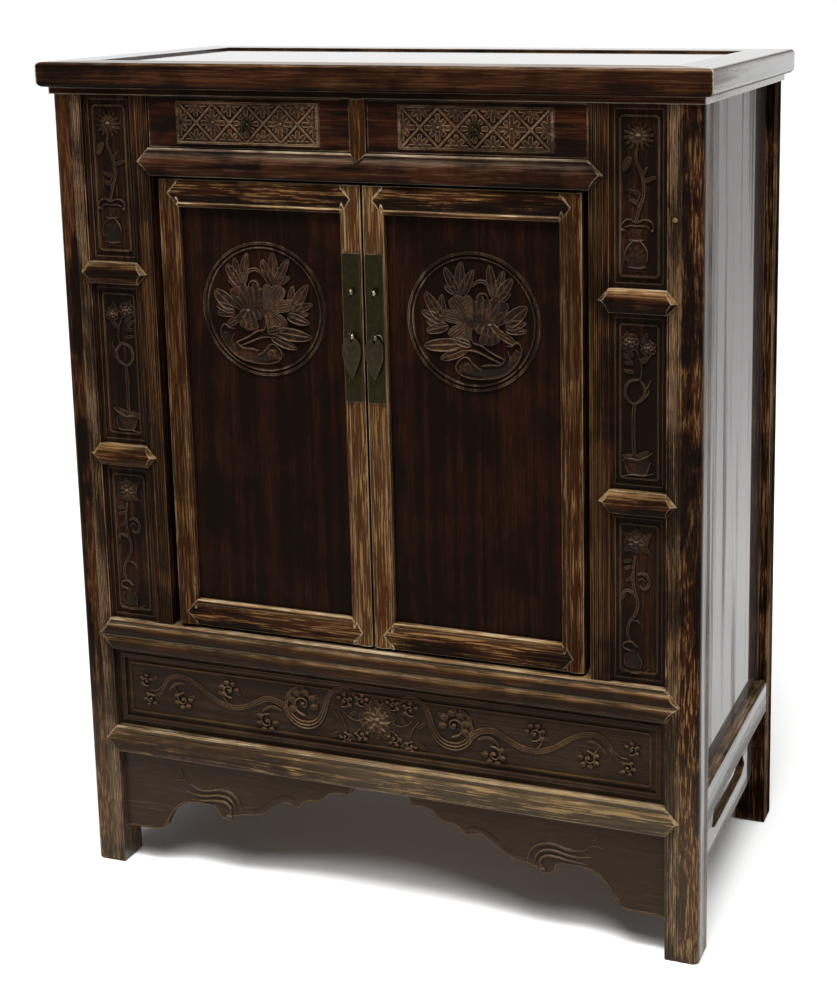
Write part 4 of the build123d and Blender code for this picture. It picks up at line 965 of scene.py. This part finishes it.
vine = {
    "face": -186.0,
    "stems": [
        ("triple", 3.3, [(26, 256, 2.0), (33, 266, 3.2), (46, 268.5, 3.6), (58, 264, 3.8), (65, 252, 4.0),
            (70, 236, 4.6), (79, 222, 5.6), (95, 217, 6.2), (110, 222, 5.6), (121, 235, 4.8), (134, 242, 4.4),
            (147, 242.5, 4.4), (160, 236, 4.2), (174, 229, 4.0), (190, 225.5, 4.0), (206, 227.5, 3.8),
            (222, 235, 3.6), (238, 246, 3.4), (254, 254, 3.4), (270, 255.5, 3.4), (282, 248, 3.2), (289, 236, 2.8),
            (296, 228, 2.2), (305, 228, 1.4)]),
        ("double", 2.8, [(112, 219, 2.2), (118, 232, 2.6), (118, 246, 2.8), (112, 258, 2.6), (103, 264, 2.0)]),
        ("double", 2.6, [(126, 230, 1.8), (135, 233.5, 2.4), (145, 232, 2.4), (152, 225, 1.8)]),
        ("double", 2.6, [(257, 246, 1.4), (265, 247, 2.2), (274, 242, 2.2), (280, 234, 1.4)]),
        ("round", 2.4, [(196, 228, 1.3), (202, 234, 1.6), (205, 241, 1.2)]),
        ("round", 2.4, [(262, 230, 1.2), (269, 236, 1.6), (272, 243, 1.2)]),
        ("round", 2.4, [(290, 239, 1.2), (298, 233, 1.5), (306, 232, 1.1)]),
        ("round", 2.4, [(52, 240, 1.2), (46, 232, 1.6), (42, 222, 1.4), (42, 212, 1.1)]),
        ("round", 2.4, [(16, 236, 1.2), (26, 232, 1.6), (36, 234, 1.4), (44, 240, 1.1)]),
    ],
    # centre x, z, radius, lobes, way the lobes look, hand of the curl
    "blossoms": [
        (97, 243, 20, 6, 80, 1), (42, 254, 11, 4, 120, -1), (42, 209, 8.5, 4, 250, 1), (146, 214, 15, 5, 290, -1),
        (196, 247, 13.5, 5, 70, 1), (260, 226, 13.5, 5, 280, -1), (311, 244, 9.5, 4, 60, 1),
        (306, 221, 10, 4, 320, -1), (20, 257, 10, 4, 60, 1), (21, 215, 10, 4, 260, -1),
    ],
    # the open flower in the middle; its heart: radius, rise, lift; its petals: reach, number, width, rise, lift, turn
    "bloomCenter": (0, 236),
    "bloomHeart": (3.2, 3.4, 1.4),
    "bloom": [(25, 9, 14, 2.4, 0.0, 20), (16.5, 7, 11, 2.6, 0.6, 10), (9.5, 5, 8, 2.6, 1.2, 0)],
    "leaves": [
        (64, 206, 48, 214, 6, 2.2), (28, 204, 38, 214, 5.5, 2.2), (60, 240, 50, 232, 5, 2.2),
        (28, 243, 36, 236, 5, 2.2), (164, 222, 154, 217, 5, 2.0), (128, 212, 138, 216, 5, 2.0),
        (213, 240, 204, 244, 5, 2.0), (180, 242, 188, 246, 5, 2.0), (244, 232, 252, 229, 5, 2.0),
        (273, 219, 266, 223, 5, 2.0), (322, 234, 312, 236, 5, 2.0), (296, 251, 304, 246, 4.5, 2.0),
        (295, 213, 301, 218, 4.5, 2.0), (122, 256, 112, 252, 6, 2.2), (76, 256, 84, 251, 6, 2.2),
        (97, 268, 97, 258, 7, 2.2),
    ],
}


blossomShape = {"spread": 260, "lobesAt": 0.74, "lobeSize": 1.25, "curlTurn": 430, "curlSteps": 8, "curlIn": 0.62}


def blossom(x, z, reach, lobes, turn, hand):
    # round lobes about one side and a stem that curls in from the other
    pieces = []
    lobesAt, steps = blossomShape["lobesAt"], blossomShape["curlSteps"]
    for number in range(lobes):
        angle = math.radians(turn + hand * (number - (lobes - 1) / 2) * blossomShape["spread"] / lobes)
        middle = (x + math.cos(angle) * reach * lobesAt, z + math.sin(angle) * reach * lobesAt)
        pieces.append(knob(middle, reach * blossomShape["lobeSize"] / (lobes ** 0.5 + 1.9), 2.9))
    curl = []
    for step in range(steps + 1):
        share = step / steps
        angle = math.radians(turn + 180 + hand * blossomShape["curlTurn"] * share)
        radius = reach * (lobesAt - blossomShape["curlIn"] * share) * (1 - 0.25 * math.sin(math.pi * share))
        width = reach * (0.085 - 0.015 * share) + 0.25
        curl.append((x + radius * math.cos(angle), z + radius * math.sin(angle), width))
    pieces.append(strand(curl, roundStem, 3.4))
    pieces.append(knob((x, z), reach * 0.16, 3.4))
    return pieces


vinePieces = stemsOf(vine["stems"]) + leavesOf(vine["leaves"])
for row in vine["blossoms"]:
    vinePieces += blossom(*row)
carvePair("vine_carving_right", "carcass", "dark_lacquer", "carvedLowLacquer", vine["face"], vinePieces, 0.6, 95000)
bloomX, bloomZ = vine["bloomCenter"]
bloomPieces = []
for reach, count, width, rise, lift, turn in vine["bloom"]:
    bloomPieces += flower(petalMaster, (bloomX, bloomZ), (reach, reach * 0.98), count, width, rise, lift, turn)
bloomPieces.append(knob((bloomX, bloomZ), *vine["bloomHeart"]))
carve("vine_bloom", "carcass", "dark_lacquer", "carvedLowLacquer", vine["face"], bloomPieces, 0.6, 24000)


# ---- lip and scroll on the shaped aprons ----

apronCarving = {
    "face": -187.0,
    "stems": [
        ("round", 1.6, [(104, 110.5, 1.0), (112, 115.5, 3.4), (124, 117.5, 4.8), (137, 112, 5.6), (150, 103, 5.6),
            (163, 94.5, 4.6), (175, 92.5, 3.6), (186, 92, 2.0)]),
        ("round", 2.4, [(185.5, 87, 1.5), (187, 97, 2.4), (193, 107, 2.8), (203, 113, 2.8), (216, 114.5, 2.8),
            (233, 110.5, 2.6), (248, 111.5, 2.4), (258, 116.5, 1.9), (264, 124, 1.0)]),
        ("round", 2.6, [(193.5, 88, 1.6), (196, 97, 2.4), (203, 104.5, 2.6), (216, 107, 2.6), (235, 103.5, 2.4),
            (250, 103.5, 2.0), (262, 106, 1.0)]),
        ("round", 2.8, [(202, 84, 2.4), (201, 92, 2.8), (207, 98.5, 2.8), (220, 99.5, 2.6), (238, 97, 2.2),
            (256, 95.5, 1.0)]),
        ("round", 1.8, [(256, 117, 0.9), (266, 120.5, 1.8), (276, 118.5, 1.0)]),
        ("round", 1.8, [(262, 121, 0.9), (268, 130, 1.5), (268, 137, 0.8)]),
        ("round", 1.3, [(222, 92.8, 0.9), (240, 93.6, 1.1), (256, 92, 1.1), (270, 88, 1.1), (281, 79, 1.1),
            (288.5, 67, 1.1), (293.5, 55, 1.1), (301, 50.6, 1.1), (320, 49.6, 1.1), (343, 49.6, 0.9)]),
    ],
    "knob": ((203.5, 80.5), 4.6, 2.8),
}


apronPieces = stemsOf(apronCarving["stems"]) + [knob(*apronCarving["knob"])]
carvePair("apron_carving_right", "carcass", "dark_lacquer", "carvedApronLacquer", apronCarving["face"], apronPieces,
          0.5, 40000)


# ---- lattice with rosettes on the drawer fronts ----

lattice = {
    "face": -194.0,
    "center": (137.25, 933.0),
    "period": 42.5,
    "repeats": 4,
    "bar": 1.5,
    "rise": 1.15,
    # petals where bars cross, then half flowers along the rims: width, straight and slanting length
    "petalReach": 14.2,
    "crossPetals": (6.4, 1.12, 0.86),
    "rimPetals": (5.8, 0.98, 0.86),
}


def latticePieces():
    x0, z0 = lattice["center"]
    period, half, bar = lattice["period"], lattice["period"] / 2, lattice["bar"]
    repeats, rise, reach = lattice["repeats"], lattice["rise"], lattice["petalReach"]
    first = x0 - period * repeats / 2
    pieces = []
    for number in range(repeats):
        left = first + number * period
        for low, high in ((z0 - half, z0 + half), (z0 + half, z0 - half)):
            pieces.append(strand([(left, low, bar), (left + period / 2, z0, bar), (left + period, high, bar)],
                                 doubleStem, rise))
    petalWidth, straight, slanting = lattice["crossPetals"]
    for number in range(repeats + 1):
        x = first + number * period
        inMiddle = abs(x - x0) < 1
        middle = Vector((x, z0))
        for turn in range(0, 360, 45):
            angle = math.radians(turn)
            way = Vector((math.cos(angle), math.sin(angle)))
            if (number == 0 and way.x < -0.1) or (number == repeats and way.x > 0.1):
                continue
            length = reach * (straight if turn % 90 == 0 else slanting)
            inner = reach * (0.5 if inMiddle else 0.2)
            pieces.append(placed(petalMaster, middle + way * inner, middle + way * length, petalWidth, rise))
        if 0 < number < repeats and not inMiddle:
            pieces.append(knob((x, z0), 2.4, rise + 0.1))
    petalWidth, straight, slanting = lattice["rimPetals"]
    for number in range(repeats):
        x = first + (number + 0.5) * period
        for side in (-1, 1):
            middle = Vector((x, z0 + side * (half - 0.6)))
            for turn in (0, 45, 90, 135, 180):
                way = Vector((math.cos(math.radians(turn)), -side * math.sin(math.radians(turn))))
                length = reach * (straight if turn % 90 == 0 else slanting)
                pieces.append(placed(petalMaster, middle + way * 2.4, middle + way * length, petalWidth, rise))
            pieces.append(knob((x, z0 + side * (half - 2.2)), 2.2, rise))
    return pieces


carvePair("drawer_lattice_right", "drawer_right", "dark_lacquer", "carvedPaleLacquer", lattice["face"],
          latticePieces(), 0.4, 90000, 1)
print("carvings done")


# ---- pin heads, hooks and nails on the door plates, and a plug in the right post ----

hardware = {
    "eyes": (748.0, 697.0),
    "middle": 14.0,
    "eyeFront": -198.2,
    # radius, height and collar of a head
    "pin": (3.0, 2.4, 1.15),
    "hookFront": -193.6,
    "hook": [(15.0, 699.5, 0.5), (18.5, 700.0, 0.55), (21.5, 697.5, 0.5), (22.5, 693.0, 0.4)],
}


def dome(x, front, z, radius, height, collar):
    # a round head on a flat collar, looking forwards
    deselectAll()
    center = (x * mm, front * mm, z * mm)
    bpy.ops.mesh.primitive_uv_sphere_add(segments=20, ring_count=10, radius=radius * mm, location=center,
                                         rotation=(math.radians(90), 0, 0))
    head = settle(bpy.context.object)
    resizeWhere(head, lambda co: co.y > center[1] + 1e-6, (1, 0.05, 1), center)
    resizeWhere(head, lambda co: co.y < center[1] - 1e-6, (1, height / radius, 1), center)
    resizeWhere(head, lambda co: abs(co.y - center[1]) < 1e-6, (collar, 1, collar), center)
    return head


pins = [dome(hardware["middle"], hardware["eyeFront"], z, *hardware["pin"]) for z in hardware["eyes"]]
hook = strand(hardware["hook"], roundStem, 1.3)
hook.rotation_euler = (math.radians(90), 0, 0)
hook.location = (0, hardware["hookFront"] * mm, 0)
pinHeads = joinAll([*pins, settle(hook)], "pin_heads_right")
smooth(pinHeads, 50)
finishPiece(pinHeads, "door_right", "rubbedBrass")
mirrored(pinHeads, "door_right", "rubbedBrass")

# place, radius, height and collar
plug = (359.5, -196.0, 843.0, 2.7, 0.5, 1.0)
woodPlug = dome(*plug)
woodPlug.name = woodPlug.data.name = "post_plug"
smooth(woodPlug, 50)
finishPiece(woodPlug, "carcass", "plugWood")
for helper in (rimLeaf, shellPetal, leafMaster, petalMaster, narrowMaster, knobMaster, roundStem, doubleStem,
               tripleStem):
    bpy.data.objects.remove(helper)
print("hardware done")
